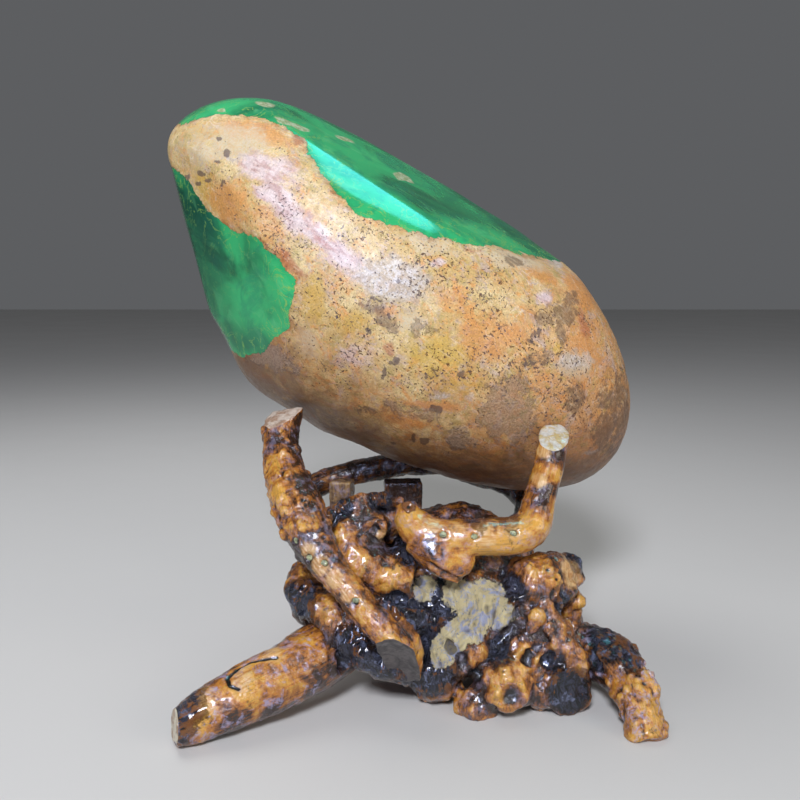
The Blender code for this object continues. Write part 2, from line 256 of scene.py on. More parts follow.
class Effects:
    """The effects that several finishes share, each built once as a shader group."""

    def __init__(self) -> None:
        """Build the groups."""
        self.specks = self._specks()
        self.mottle = self._mottle()
        self.fibres = self._fibres()

    @staticmethod
    def _start(name: str, inputs: dict[str, float | None],
               outputs: Sequence[str]) -> tuple[Graph, bpy.types.Node, bpy.types.Node]:
        """Start a group.

        Args:
            name: The group's name.
            inputs: Its inputs with their values; None makes a vector.
            outputs: Its outputs, which are all values.

        Returns:
            Its graph, its input node and its output node.
        """
        tree = bpy.data.node_groups.new(name, "ShaderNodeTree")
        for title, value in inputs.items():
            kind = "NodeSocketVector" if value is None else "NodeSocketFloat"
            socket = tree.interface.new_socket(title, in_out="INPUT", socket_type=kind)
            if value is not None:
                socket.default_value = value
        for title in outputs:
            tree.interface.new_socket(title, in_out="OUTPUT", socket_type="NodeSocketFloat")
        graph = Graph(tree)
        return graph, graph.add("NodeGroupInput"), graph.add("NodeGroupOutput")

    def _specks(self) -> bpy.types.NodeTree:
        """Small round specks of uneven size, in a share of the cells."""
        graph, given, result = self._start(
            "Fine specks", {"Vector": None, "Cell": 2.0, "Radius": 0.3, "Share": 0.4}, ("Mask",))
        cells = graph.cells(given.outputs["Vector"], given.outputs["Cell"])
        chance, size, _ = graph.split(cells.outputs["Color"])
        radius = graph.math("MULTIPLY", given.outputs["Radius"],
                            graph.math("MULTIPLY_ADD", size, 0.8, 0.3))
        edge = graph.math("SUBTRACT", radius, cells.outputs["Distance"])
        inside = graph.remap(edge, 0.0, 0.1)
        chosen = graph.math("LESS_THAN", chance, given.outputs["Share"])
        graph.feed(result.inputs["Mask"], graph.math("MULTIPLY", inside, chosen))
        return graph.tree

    def _mottle(self) -> bpy.types.NodeTree:
        """Ragged blotches: a field from 0 to 1 whose edges follow a two-layer noise."""
        graph, given, result = self._start(
            "Ragged edge", {"Field": 0.0, "Coarse": 0.5, "Fine": 0.5, "Raggedness": 0.6,
                            "Softness": 0.12}, ("Mask",))
        coarse = graph.math("SUBTRACT", given.outputs["Coarse"], 0.5)
        fine = graph.math("SUBTRACT", given.outputs["Fine"], 0.5)
        wobble = graph.math("MULTIPLY_ADD", fine, 0.7, coarse)
        field = graph.math("MULTIPLY_ADD", wobble, given.outputs["Raggedness"],
                           given.outputs["Field"])
        low = graph.math("SUBTRACT", 0.5, given.outputs["Softness"])
        high = graph.math("ADD", 0.5, given.outputs["Softness"])
        mask = graph.remap(field, low, high)
        there = graph.remap(given.outputs["Field"], 0.02, 0.12)
        graph.feed(result.inputs["Mask"], graph.math("MULTIPLY", mask, there))
        return graph.tree

    def _fibres(self) -> bpy.types.NodeTree:
        """Long fibres along the third axis of the grain."""
        graph, given, result = self._start(
            "Wood fibres", {"Vector": None, "Width": 1.0, "Stretch": 0.08}, ("Mask", "Height"))
        scale = graph.add("ShaderNodeCombineXYZ", None,
                          {0: 1.0, 1: 1.0, 2: given.outputs["Stretch"]})
        along = graph.add("ShaderNodeVectorMath", {"operation": "MULTIPLY"},
                          {0: given.outputs["Vector"], 1: scale.outputs[0]}).outputs[0]
        noise_node = graph.add("ShaderNodeTexNoise", None,
                               {"Vector": along, "Detail": 6.0, "Roughness": 0.65,
                                "Distortion": 0.4,
                                "Scale": graph.math("DIVIDE", 1000.0, given.outputs["Width"])})
        graph.feed(result.inputs["Mask"], graph.remap(noise_node.outputs["Fac"], 0.42, 0.66))
        graph.feed(result.inputs["Height"], noise_node.outputs["Fac"])
        return graph.tree


EFFECTS = Effects()


def principled(name: str, constants: dict[str, Any]) -> tuple[bpy.types.Material, Graph, Any]:
    """Start a material with the values that are the same all over it.

    Args:
        name: The material's name.
        constants: Values for the shader's own sockets.

    Returns:
        The material, its graph and its Principled shader.
    """
    material = bpy.data.materials.new(name)
    material.use_nodes = True
    graph = Graph(material.node_tree)
    shader = material.node_tree.nodes["Principled BSDF"]
    for key, value in constants.items():
        shader.inputs[key].default_value = value
    return material, graph, shader


# ------------------------------------------------------------------------ finishes
@dataclass(frozen=True)
class StoneFinish:
    """Weathered crust, polished with the stone, around windows of green jade."""

    tan: Colour = tone(204, 172, 110)
    sand: Colour = tone(222, 200, 148)
    warm: Colour = tone(210, 160, 104)
    jade_bright: Colour = tone(50, 174, 106)
    jade_deep: Colour = tone(8, 88, 58)

    def material(self) -> bpy.types.Material:
        """Build the material."""
        material, graph, shader = principled(
            "polished_boulder", {"Coat Roughness": 0.18, "IOR": 1.6, "Specular IOR Level": 0.3})
        place = graph.add("ShaderNodeTexCoord").outputs["Object"]
        own = graph.stretched(place, (1.0, 1.0, 1.0), (0.0, -Boulder.tilt, 0.0))
        coarse = graph.noise(own, 11.0, 8.0, 0.68, 0.5)
        fine = graph.noise(own, 2.4, 6.0, 0.7)
        distance = graph.attribute("window").outputs["Fac"]
        crust, pits = self._crust(graph, own, coarse, fine)
        micro = graph.noise(own, 0.8, 3.0, 0.65)
        grit = self._edge(graph, graph.attribute("grit").outputs["Fac"], coarse, fine, 2.6, 0.16)
        sand = graph.mix(graph.remap(micro, 0.35, 0.65), tone(120, 98, 80), tone(166, 142, 118))
        crust = graph.mix(graph.math("MULTIPLY", grit, 0.55), crust, sand)
        jade = self._jade(graph, own, coarse, fine, distance)
        edge = graph.math("MULTIPLY_ADD", graph.math("SUBTRACT", coarse, 0.5), 3.0, distance)
        edge = graph.math("MULTIPLY_ADD", graph.math("SUBTRACT", fine, 0.5), 4.0, edge)
        window = graph.remap(edge, -0.12, 0.2)
        rim = graph.math("MULTIPLY", graph.remap(edge, -2.6, -0.1), graph.remap(coarse, 0.42, 0.62))
        crust = graph.mix(graph.math("MULTIPLY", rim, 0.6), crust, tone(140, 82, 30))
        graph.feed(shader.inputs["Base Color"], graph.mix(window, crust, jade))
        dull = graph.remap(fine, 0.3, 0.7, 0.3, 0.5)
        polish = graph.remap(coarse, 0.3, 0.7, 0.1, 0.2)
        graph.feed(shader.inputs["Roughness"], graph.remap(window, 0.0, 1.0, dull, polish))
        graph.feed(shader.inputs["Coat Weight"], graph.remap(window, 0.0, 1.0, 0.06, 0.25))
        rough = graph.math("MULTIPLY_ADD", pits, -1.4, graph.math("MULTIPLY_ADD", fine, 0.8, coarse))
        rough = graph.math("MULTIPLY_ADD", graph.math("MULTIPLY", micro, grit), 2.0, rough)
        height = graph.math("MULTIPLY", rough, graph.math("SUBTRACT", 1.0, window))
        faint = graph.math("MULTIPLY", graph.noise(own, 14.0, 3.0, 0.5), window)
        height = graph.math("MULTIPLY_ADD", faint, 0.6, height)
        graph.feed(shader.inputs["Normal"], graph.bump(height, 0.24))
        return material

    def _crust(self, graph: Graph, own: Socket, coarse: Socket, fine: Socket) -> tuple[Socket, Socket]:
        """Colour the crust, with painted shade darkening its underside.

        Args:
            graph: The material's graph.
            own: The boulder's own coordinates.
            coarse: A coarse noise.
            fine: A fine noise.

        Returns:
            Its colour and a mask of its pits.
        """
        micro = graph.noise(own, 0.8, 3.0, 0.65)
        clouds = graph.remap(graph.noise(own, 30.0, 8.0, 0.68, 0.8), 0.36, 0.64)
        colour = graph.mix(clouds, self.tan, self.sand)
        blush = graph.remap(graph.noise(graph.stretched(own, (0.7, 1.0, 1.3)), 17.0, 8.0, 0.7, 1.4), 0.48, 0.66)
        colour = graph.mix(graph.math("MULTIPLY", blush, 0.6), colour, self.warm)
        glow = graph.attribute("warmth").outputs["Fac"]
        glow = graph.remap(graph.math("MULTIPLY_ADD", graph.math("SUBTRACT", coarse, 0.5), 1.5, glow), 0.1, 0.9)
        colour = graph.mix(graph.math("MULTIPLY", glow, 0.7), colour, tone(206, 150, 98))
        mottle = graph.noise(own, 5.0, 8.0, 0.72, 0.8)
        colour = graph.mix(graph.remap(mottle, 0.52, 0.66, 0.0, 0.5), colour, tone(160, 118, 78))
        colour = graph.mix(graph.remap(mottle, 0.46, 0.34, 0.0, 0.5), colour, tone(232, 216, 180))
        for size, strength in ((9.0, 0.7), (3.6, 0.6)):
            turned = graph.stretched(own, (0.8, 1.0, 1.0), (size, 0.3, 0.6))
            hues = graph.split(graph.noise(turned, size, 8.0, 0.7, 0.6).node.outputs["Color"])
            for hue, paint in zip(hues, (tone(218, 150, 78), tone(172, 152, 88), tone(192, 170, 160))):
                colour = graph.mix(graph.remap(hue, 0.54, 0.63, 0.0, strength), colour, paint)
        first = graph.split(graph.attribute("tints_a").outputs["Color"])
        second = graph.split(graph.attribute("tints_and_highlights").outputs["Color"])
        third = graph.split(graph.attribute("tints_and_painted_shade").outputs["Color"])
        streaks = graph.noise(graph.stretched(own, (0.25, 1.0, 1.0)), 3.0, 5.0, 0.6)
        # Lilac streaks: the stone's tint, and partly a painted highlight along the crest.
        lilac_and_highlight = graph.mix(graph.remap(streaks, 0.42, 0.62), tone(222, 204, 206), tone(190, 156, 158))
        # White: the stone's pale patches, and partly a painted highlight.
        white_and_highlight = graph.mix(graph.remap(fine, 0.42, 0.56), tone(210, 206, 206), tone(184, 168, 150))
        brown = graph.mix(graph.remap(fine, 0.4, 0.6), tone(152, 128, 100), tone(112, 90, 70))
        sandy = graph.mix(graph.remap(micro, 0.4, 0.6), tone(226, 214, 186), tone(196, 172, 138))
        layers = ((first[1], tone(204, 166, 70), 2.4, 0.4, 0.7), (first[0], tone(212, 146, 80), 2.2, 0.4, 0.7),
                  (first[2], sandy, 2.2, 0.35, 0.7), (second[0], lilac_and_highlight, 1.8, 0.4, 0.85),
                  (second[1], white_and_highlight, 2.4, 0.3, 0.8), (second[2], brown, 2.6, 0.2, 0.75),
                  (third[0], tone(170, 98, 68), 1.4, 0.3, 0.65))
        for field, paint, ragged, soft, strength in layers:
            mask = self._edge(graph, field, coarse, fine, ragged, soft)
            colour = graph.mix(graph.math("MULTIPLY", mask, strength), colour, paint)
        vein = graph.math("ABSOLUTE", graph.math("SUBTRACT", graph.noise(own, 22.0, 3.0, 0.5, 1.2), 0.5))
        vein = graph.math("MULTIPLY", graph.remap(vein, 0.0, 0.006, 1.0, 0.0), graph.remap(clouds, 0.3, 0.7))
        colour = graph.mix(graph.math("MULTIPLY", vein, 0.4), colour, tone(232, 220, 204))
        for turn in (0.4, -0.7, 1.3):
            lines = graph.stretched(own, (0.06, 1.0, 1.6), (0.0, turn, 0.2))
            scratch = graph.remap(graph.noise(lines, 1.6, 2.0, 0.5), 0.66, 0.72)
            colour = graph.mix(graph.math("MULTIPLY", scratch, 0.3), colour, tone(228, 206, 176))
        grain = graph.remap(micro, 0.3, 0.7, 0.8, 1.12)
        shade = graph.add("ShaderNodeCombineColor", None, {0: grain, 1: grain, 2: grain})
        colour = graph.mix(1.0, colour, shade.outputs[0], "MULTIPLY")
        crowd = graph.remap(graph.noise(own, 24.0, 4.0, 0.6), 0.4, 0.62)
        crowd = graph.math("MULTIPLY_ADD", crowd, 0.6, graph.math("MULTIPLY", graph.attribute("specks").outputs["Fac"], 0.6))
        bits = graph.noise(graph.stretched(own, (0.8, 1.0, 1.0)), 1.0, 3.0, 0.6, 0.3)
        limit = graph.remap(crowd, 0.0, 1.0, 0.72, 0.6, smooth=False)
        specks = graph.remap(graph.math("SUBTRACT", bits, limit), 0.0, 0.02)
        chips = graph.noise(graph.stretched(own, (1.0, 1.0, 1.0), (0.7, 0.4, 0.2)), 2.8, 5.0, 0.72, 0.4)
        chips = graph.remap(graph.math("SUBTRACT", chips, limit), 0.03, 0.05)
        specks = graph.math("MAXIMUM", specks, graph.math("MULTIPLY", chips, graph.remap(crowd, 0.35, 0.7)))
        contour = graph.math("ABSOLUTE", graph.math("SUBTRACT", graph.noise(own, 13.0, 7.0, 0.62, 1.2), 0.5))
        etched = graph.math("MULTIPLY", graph.remap(contour, 0.008, 0.016, 1.0, 0.0),
                            graph.remap(graph.noise(own, 2.8, 3.0), 0.58, 0.62))
        specks = graph.math("MAXIMUM", specks, graph.math("MULTIPLY", etched, graph.remap(crowd, 0.8, 1.0)))
        ink = graph.mix(graph.remap(coarse, 0.42, 0.56), tone(96, 62, 34), tone(92, 78, 84))
        colour = graph.mix(graph.math("MULTIPLY", specks, 0.95), colour, ink)
        dark = self._edge(graph, third[1], coarse, fine, 1.8, 0.14)
        colour = graph.mix(graph.math("MULTIPLY", dark, 0.75), colour, tone(88, 74, 74))
        # Painted shade: the crust is darkened towards its underside and towards the floor, down to a dark brown lowest
        # down.
        shade = graph.math("MULTIPLY_ADD", graph.math("SUBTRACT", coarse, 0.5), 1.1, third[2])
        shade_darkening = graph.remap(shade, 0.0, 0.7, 0.0, 0.8, smooth=False)
        colour = graph.mix(shade_darkening, colour, tone(205, 180, 160), "MULTIPLY")
        under = graph.mix(graph.remap(coarse, 0.4, 0.6), tone(66, 42, 30), tone(98, 68, 48))
        colour = graph.mix(graph.remap(shade, 0.55, 1.15, 0.0, 0.9), colour, under)
        return colour, specks

    @staticmethod
    def _edge(graph: Graph, field: Socket, coarse: Socket, fine: Socket, ragged: float,
              soft: float) -> Socket:
        """Cut a ragged mask out of a smooth field."""
        inputs = {"Field": field, "Coarse": coarse, "Fine": fine, "Raggedness": ragged,
                  "Softness": soft}
        return graph.group(EFFECTS.mottle, inputs).outputs[0]

    def _jade(self, graph: Graph, own: Socket, coarse: Socket, fine: Socket,
              distance: Socket) -> Socket:
        """Colour the jade, with painted shade and painted light on its windows.

        Args:
            graph: The material's graph.
            own: The boulder's own coordinates.
            coarse: A coarse noise.
            fine: A fine noise.
            distance: How far inside a window's outline it is, in mm.

        Returns:
            Its colour.
        """
        # The jade marks hold the real inclusions, and painted shade and painted light: the windows are darkened on the
        # upper left and brightened on the lower right and in patches of the top window.
        inclusion, jade_painted_shade, glow = graph.split(graph.attribute("jade_inclusions_and_painted_light").outputs["Color"])
        clouds = graph.noise(graph.stretched(own, (0.6, 1.0, 1.0)), 26.0, 6.0, 0.56, 0.7)
        clouds = graph.math("MULTIPLY_ADD", graph.math("SUBTRACT", glow, jade_painted_shade), 0.14, clouds)
        colour = graph.mix(graph.remap(clouds, 0.26, 0.62), self.jade_deep, self.jade_bright)
        wisps = graph.remap(graph.noise(graph.stretched(own, (0.4, 1.0, 1.0)), 8.0, 7.0, 0.62, 0.8), 0.52, 0.72)
        colour = graph.mix(graph.math("MULTIPLY", wisps, 0.4), colour, tone(104, 196, 132))
        teal = graph.remap(graph.noise(own, 19.0, 6.0, 0.64, 0.8), 0.48, 0.6)
        colour = graph.mix(graph.math("MULTIPLY", teal, 0.4), colour, tone(22, 116, 92))
        colour = graph.mix(graph.math("MULTIPLY", jade_painted_shade, 0.55), colour, tone(14, 64, 52))
        flecks = graph.group(EFFECTS.specks, {"Vector": own, "Cell": 5.0, "Radius": 0.1, "Share": 0.4})
        colour = graph.mix(graph.math("MULTIPLY", flecks.outputs[0], 0.5), colour, tone(10, 58, 36))
        bright = graph.group(EFFECTS.specks, {"Vector": graph.stretched(own, (0.5, 1.0, 1.0)), "Cell": 4.0,
                                              "Radius": 0.1, "Share": 0.16})
        colour = graph.mix(graph.math("MULTIPLY", bright.outputs[0], 0.6), colour, tone(150, 214, 150))

        ridge = graph.math("ABSOLUTE", graph.math("SUBTRACT", graph.noise(own, 10.0, 6.0, 0.6, 1.0), 0.5))
        vein = graph.math("MULTIPLY", graph.remap(ridge, 0.004, 0.014, 1.0, 0.0), graph.remap(distance, 2.0, 14.0, 0.8, 0.12))
        colour = graph.mix(vein, colour, tone(128, 176, 84))
        mask = self._edge(graph, inclusion, coarse, fine, 0.5, 0.14)
        stone = graph.mix(graph.remap(fine, 0.42, 0.58), tone(196, 204, 172), tone(150, 158, 112))
        return graph.mix(graph.math("MULTIPLY", mask, 0.85), colour, stone)


@dataclass(frozen=True)
class WoodFinish:
    """Root wood under a clear glossy lacquer."""

    name: str
    honey: Colour = tone(212, 158, 66)
    light: Colour = tone(182, 116, 42)
    middle: Colour = tone(122, 72, 32)
    dark: Colour = tone(48, 29, 19)
    balance: float = 0.0
    blotches: float = 0.5
    fibre: float = 1.0
    relief: float = 0.35
    coat: float = 0.3
    # How strong the painted sheen is: a cool lilac-grey standing in for bluish highlights.
    painted_sheen: float = 0.3

    def material(self) -> bpy.types.Material:
        """Build the material."""
        material, graph, shader = principled(self.name, {"Coat Roughness": 0.06, "IOR": 1.55})
        place = graph.add("ShaderNodeTexCoord").outputs["Object"]
        grain = graph.attribute("grain").outputs["Vector"]
        coarse = graph.noise(place, 9.0, 8.0, 0.66, 0.6)
        fine = graph.noise(place, 1.7, 5.0, 0.68)
        nodules = graph.noise(place, 2.6, 3.0, 0.5, 0.4)
        fibres = graph.group(EFFECTS.fibres, {"Vector": grain, "Width": self.fibre, "Stretch": 0.07})
        char, cream, stain_and_pit_shade = graph.split(graph.attribute("marks").outputs["Color"])
        gold, dark, pale = graph.split(graph.attribute("tones").outputs["Color"])
        # Painted shade: the crevice depth darkens the wood in hollows and creases and leaves the ridges lighter.
        crevice = graph.attribute("crevice").outputs["Fac"]
        hollow = graph.math("MULTIPLY_ADD", graph.math("SUBTRACT", fine, 0.5), 0.3, crevice)
        level = graph.math("MULTIPLY_ADD", graph.math("SUBTRACT", gold, dark), 0.15, coarse)
        level = graph.math("MULTIPLY_ADD", graph.math("SUBTRACT", fibres.outputs["Height"], 0.5), 0.6, level)
        level = graph.math("MULTIPLY_ADD", graph.math("SUBTRACT", fine, 0.5), 0.35, level)
        level = graph.math("MULTIPLY_ADD", hollow, -0.18, graph.math("ADD", level, self.balance))
        colour = graph.mix(graph.remap(level, 0.38, 0.5), self.dark, self.middle)
        colour = graph.mix(graph.remap(level, 0.49, 0.6), colour, self.light)
        colour = graph.mix(graph.remap(level, 0.6, 0.72), colour, self.honey)
        colour = graph.mix(graph.math("MULTIPLY", fibres.outputs["Mask"], 0.35), colour, self.dark)
        blotch = graph.noise(graph.stretched(place, (1.0, 1.0, 0.7)), 6.5, 8.0, 0.74, 0.8)
        blotch = graph.remap(blotch, 0.64 - 0.1 * self.blotches, 0.7 - 0.08 * self.blotches)
        colour = graph.mix(graph.math("MULTIPLY", blotch, 0.8), colour, tone(38, 22, 16))
        pores = graph.group(EFFECTS.specks, {"Vector": place, "Cell": 2.2, "Radius": 0.26, "Share": 0.3})
        colour = graph.mix(graph.math("MULTIPLY", pores.outputs[0], 0.6), colour, tone(40, 22, 14))
        # Painted shade: hollows darkened to near black.
        colour = graph.mix(graph.remap(hollow, 0.1, 0.6, 0.0, 0.92), colour, tone(24, 14, 10))
        # Painted sheen: a noise lays a cool lilac-grey over the wood, standing in for bluish glossy highlights; the
        # same noise mottles the char and the cream.
        sheen_and_mottle = graph.noise(place, 5.0, 7.0, 0.74, 0.5)
        colour = graph.mix(graph.remap(sheen_and_mottle, 0.5, 0.64, 0.0, self.painted_sheen), colour, tone(160, 154, 186))
        cracks = graph.noise(graph.stretched(grain, (1.0, 1.0, 0.3)), 1.9, 8.0, 0.78, 0.8)
        burnt = graph.mix(graph.remap(cracks, 0.42, 0.56), tone(9, 9, 13), tone(66, 68, 86))
        # Painted highlights: pale blue glints on the char.
        burnt = graph.mix(graph.remap(sheen_and_mottle, 0.52, 0.64, 0.0, 0.8), burnt, tone(140, 150, 186))
        burnt = graph.mix(graph.remap(level, 0.54, 0.62, 0.0, 0.8), burnt, tone(150, 92, 38))
        char_mask = graph.group(EFFECTS.mottle, {"Field": char, "Coarse": coarse, "Fine": fine,
                                                 "Raggedness": 1.3, "Softness": 0.12}).outputs[0]
        colour = graph.mix(char_mask, colour, burnt)
        chalk = graph.mix(graph.remap(sheen_and_mottle, 0.47, 0.6), tone(255, 238, 184), tone(200, 206, 236))
        chalk = graph.mix(graph.remap(cracks, 0.34, 0.46), tone(120, 112, 110), chalk)
        cream_mask = graph.group(EFFECTS.mottle, {"Field": cream, "Coarse": coarse, "Fine": fine,
                                                  "Raggedness": 1.4, "Softness": 0.08}).outputs[0]
        # Painted shade in the hollows of the cream patches.
        chalk = graph.mix(graph.remap(hollow, 0.1, 0.7, 0.0, 0.7), chalk, tone(90, 78, 70))
        colour = graph.mix(cream_mask, colour, chalk)
        # Pale spots: worn pale wood, and painted highlights along the lit sides of the limbs and on the stub.
        pale_and_highlight_mask = graph.group(EFFECTS.mottle, {"Field": pale, "Coarse": coarse, "Fine": fine,
                                                 "Raggedness": 1.0, "Softness": 0.3}).outputs[0]
        worn = graph.mix(graph.remap(fibres.outputs["Height"], 0.4, 0.6), tone(190, 136, 74), tone(220, 184, 128))
        colour = graph.mix(graph.math("MULTIPLY", pale_and_highlight_mask, 0.8), colour, worn)
        # Near-black middles of pits and nail holes are painted shade; dark knot cores and cut faces are the wood's own
        # colour.
        colour = graph.mix(graph.remap(stain_and_pit_shade, 0.3, 0.7), colour, tone(14, 10, 9))
        graph.feed(shader.inputs["Base Color"], colour)
        rough = graph.remap(fine, 0.3, 0.7, 0.1, 0.26)
        rough = graph.mix_value(char_mask, rough, 0.2)
        graph.feed(shader.inputs["Roughness"], graph.mix_value(cream_mask, rough, 0.6))
        graph.feed(shader.inputs["Coat Weight"], graph.remap(cream_mask, 0.0, 1.0, self.coat, 0.0))
        rugged = graph.math("MAXIMUM", char_mask, cream_mask)
        height = graph.math("MULTIPLY_ADD", fine, 0.7, graph.math("MULTIPLY", nodules, 1.8))
        height = graph.math("MULTIPLY_ADD", fibres.outputs["Height"], 0.9, height)
        height = graph.math("MULTIPLY_ADD", graph.math("MULTIPLY", cracks, rugged), 7.0, height)
        graph.feed(shader.inputs["Normal"], graph.bump(height, self.relief))
        return material


@dataclass(frozen=True)
class SawnFinish:
    """A sawn end under the lacquer, with its rings."""

    name: str
    pale: Colour = tone(206, 196, 172)
    dark: Colour = tone(150, 116, 84)
    coat: float = 0.4

    def material(self) -> bpy.types.Material:
        """Build the material."""
        material, graph, shader = principled(self.name, {"Coat Roughness": 0.15})
        place = graph.add("ShaderNodeTexCoord").outputs["Object"]
        coarse = graph.noise(place, 5.0, 6.0, 0.66, 0.6)
        fine = graph.noise(place, 1.0, 4.0, 0.65)
        colour = graph.mix(graph.remap(coarse, 0.42, 0.6), self.pale, self.dark)
        dust = graph.remap(fine, 0.3, 0.7, 0.8, 1.1)
        shade = graph.add("ShaderNodeCombineColor", None, {0: dust, 1: dust, 2: dust})
        colour = graph.mix(1.0, colour, shade.outputs[0], "MULTIPLY")
        graph.feed(shader.inputs["Base Color"], colour)
        graph.feed(shader.inputs["Roughness"], graph.remap(coarse, 0.3, 0.7, 0.4, 0.6))
        shader.inputs["Coat Weight"].default_value = self.coat
        graph.feed(shader.inputs["Normal"], graph.bump(graph.math("MULTIPLY_ADD", coarse, 3.0, fine), 0.2))
        return material


@dataclass(frozen=True)
class FillerFinish:
    """The pale hardened filler of the nail holes."""

    colour: Colour = tone(176, 180, 140)

    def material(self) -> bpy.types.Material:
        """Build the material."""
        material, graph, shader = principled("nail_filler", {"Coat Weight": 0.5, "Coat Roughness": 0.1})
        place = graph.add("ShaderNodeTexCoord").outputs["Object"]
        fine = graph.noise(place, 1.2, 5.0, 0.65)
        colour = graph.mix(graph.remap(fine, 0.42, 0.62), self.colour, tone(104, 112, 84))
        graph.feed(shader.inputs["Base Color"], colour)
        graph.feed(shader.inputs["Roughness"], graph.remap(fine, 0.3, 0.7, 0.35, 0.6))
        graph.feed(shader.inputs["Normal"], graph.bump(fine, 0.2))
        return material


@dataclass(frozen=True)
class FloorFinish:
    """A plain pale floor with a faint unevenness in its sheen."""

    colour: Colour = tone(206, 204, 200)

    def material(self) -> bpy.types.Material:
        """Build the material."""
        material, graph, shader = principled("pale_floor", {})
        place = graph.add("ShaderNodeTexCoord").outputs["Object"]
        patches = graph.noise(place, 160.0, 3.0)
        graph.feed(shader.inputs["Base Color"],
                   graph.mix(patches, self.colour, tone(200, 198, 194)))
        graph.feed(shader.inputs["Roughness"], graph.remap(patches, 0.3, 0.7, 0.5, 0.6))
        return material


# ----------------------------------------------------------------- shapes in arrays
def smooth_route(points: Route, step: float) -> np.ndarray:
    """Pass a smooth curve through (x, y, z, radius) points.

    Args:
        points: The points in mm.
        step: The distance between samples in metres.

    Returns:
        The samples in metres, one row each.
    """
    knots = [np.array(p, dtype=float) * MM for p in points]
    knots = [2.0 * knots[0] - knots[1], *knots, 2.0 * knots[-1] - knots[-2]]
    samples = []
    for a, b, c, d in zip(knots, knots[1:], knots[2:], knots[3:]):
        count = max(1, round(np.linalg.norm(c[:3] - b[:3]) / step))
        for index in range(count):
            t = index / count
            samples.append(0.5 * (2.0 * b + (c - a) * t + (2.0 * a - 5.0 * b + 4.0 * c - d) * t * t
                                  + (3.0 * b - a - 3.0 * c + d) * t ** 3))
    samples.append(knots[-2])
    return np.array(samples)


def swell(points: np.ndarray, size: float, octaves: int = 3, shift: float = 0.0) -> np.ndarray:
    """Read a smooth noise at many points.

    Args:
        points: The points in metres.
        size: The size of its swells in mm.
        octaves: How many layers it has.
        shift: Moves the pattern, in swells.

    Returns:
        A value about 0 for each point.
    """
    scaled = points / (size * MM) + shift
    return np.array([noise.fractal(Vector(p), 0.6, 2.0, octaves) for p in scaled])


def crease(points: np.ndarray, size: float, shift: float = 0.0) -> np.ndarray:
    """Read a noise of round swells parted by sharp valleys, from 0 in a valley up."""
    scaled = points / (size * MM) + shift
    return np.array([abs(noise.noise(Vector(p))) for p in scaled])


def ellipse_field(points: np.ndarray, marks: Sequence[tuple[float, ...]]) -> np.ndarray:
    """Spread soft oval marks on a plane.

    Args:
        points: The points on the plane in mm, two to a row.
        marks: (across, up, half length, half width, turn in degrees, strength) for each.

    Returns:
        The strongest mark at each point, from 0 to 1.
    """
    field = np.zeros(len(points))
    for across, up, long, wide, turn, strength in marks:
        angle = math.radians(turn)
        x, z = points[:, 0] - across, points[:, 1] - up
        u = (x * math.cos(angle) + z * math.sin(angle)) / max(long, 0.9)
        v = (z * math.cos(angle) - x * math.sin(angle)) / max(wide, 0.9)
        near = np.clip(1.5 - np.sqrt(u * u + v * v), 0.0, 1.0)
        field = np.maximum(field, near * strength)
    return field


def outline_distance(points: np.ndarray, outline: Sequence[tuple[float, float]]) -> np.ndarray:
    """Measure how deep points lie inside an outline.

    Args:
        points: The points on the plane in mm.
        outline: The corners of the outline.

    Returns:
        The distance to its edge, positive inside.
    """
    corners = np.array(outline, dtype=float)
    best = np.full(len(points), 1e9)
    inside = np.zeros(len(points), dtype=bool)
    for start, end in zip(corners, np.roll(corners, -1, axis=0)):
        edge = end - start
        share = np.clip(((points - start) @ edge) / (edge @ edge), 0.0, 1.0)
        best = np.minimum(best, np.linalg.norm(points - (start + share[:, None] * edge), axis=1))
        crosses = (start[1] > points[:, 1]) != (end[1] > points[:, 1])
        rise = np.where(abs(edge[1]) > 1e-9, edge[1], 1e-9)
        at = start[0] + (points[:, 1] - start[1]) / rise * edge[0]
        inside ^= crosses & (points[:, 0] < at)
    return np.where(inside, best, -best)


def path_distance(points: np.ndarray, path: Sequence[Colour]) -> np.ndarray:
    """Measure how far points lie from a path.

    Args:
        points: The points in metres.
        path: The path's corners in mm; a single one is a point.

    Returns:
        The distances in mm.
    """
    places = points / MM
    corners = np.array(path, dtype=float)
    best = np.linalg.norm(places - corners[0], axis=1)
    for start, end in zip(corners, corners[1:]):
        edge = end - start
        share = np.clip(((places - start) @ edge) / max(edge @ edge, 1e-9), 0.0, 1.0)
        best = np.minimum(best, np.linalg.norm(places - (start + share[:, None] * edge), axis=1))
    return best


class Mark(Enum):
    """The kinds of small form that are worked into a skin."""

    KNOB = "knob"
    PIT = "pit"
    GROOVE = "groove"
    EYE = "eye"
    CUT = "cut"


@dataclass(frozen=True)
class Work:
    """One small form: the path or point it follows, how wide, how high, and a cut's direction."""

    kind: Mark
    path: tuple[Colour, ...]
    radius: float
    height: float = 0.0
    direction: Colour = (0.0, 0.0, 0.0)


@dataclass(frozen=True)
class Paint:
    """Soft round spots of a finish, each as (x, y, z, radius, strength)."""

    char: Spots = ()
    cream: Spots = ()
    gold: Spots = ()
    dark: Spots = ()
    # Pale spots: worn pale wood, and painted highlights.
    pale: Spots = ()


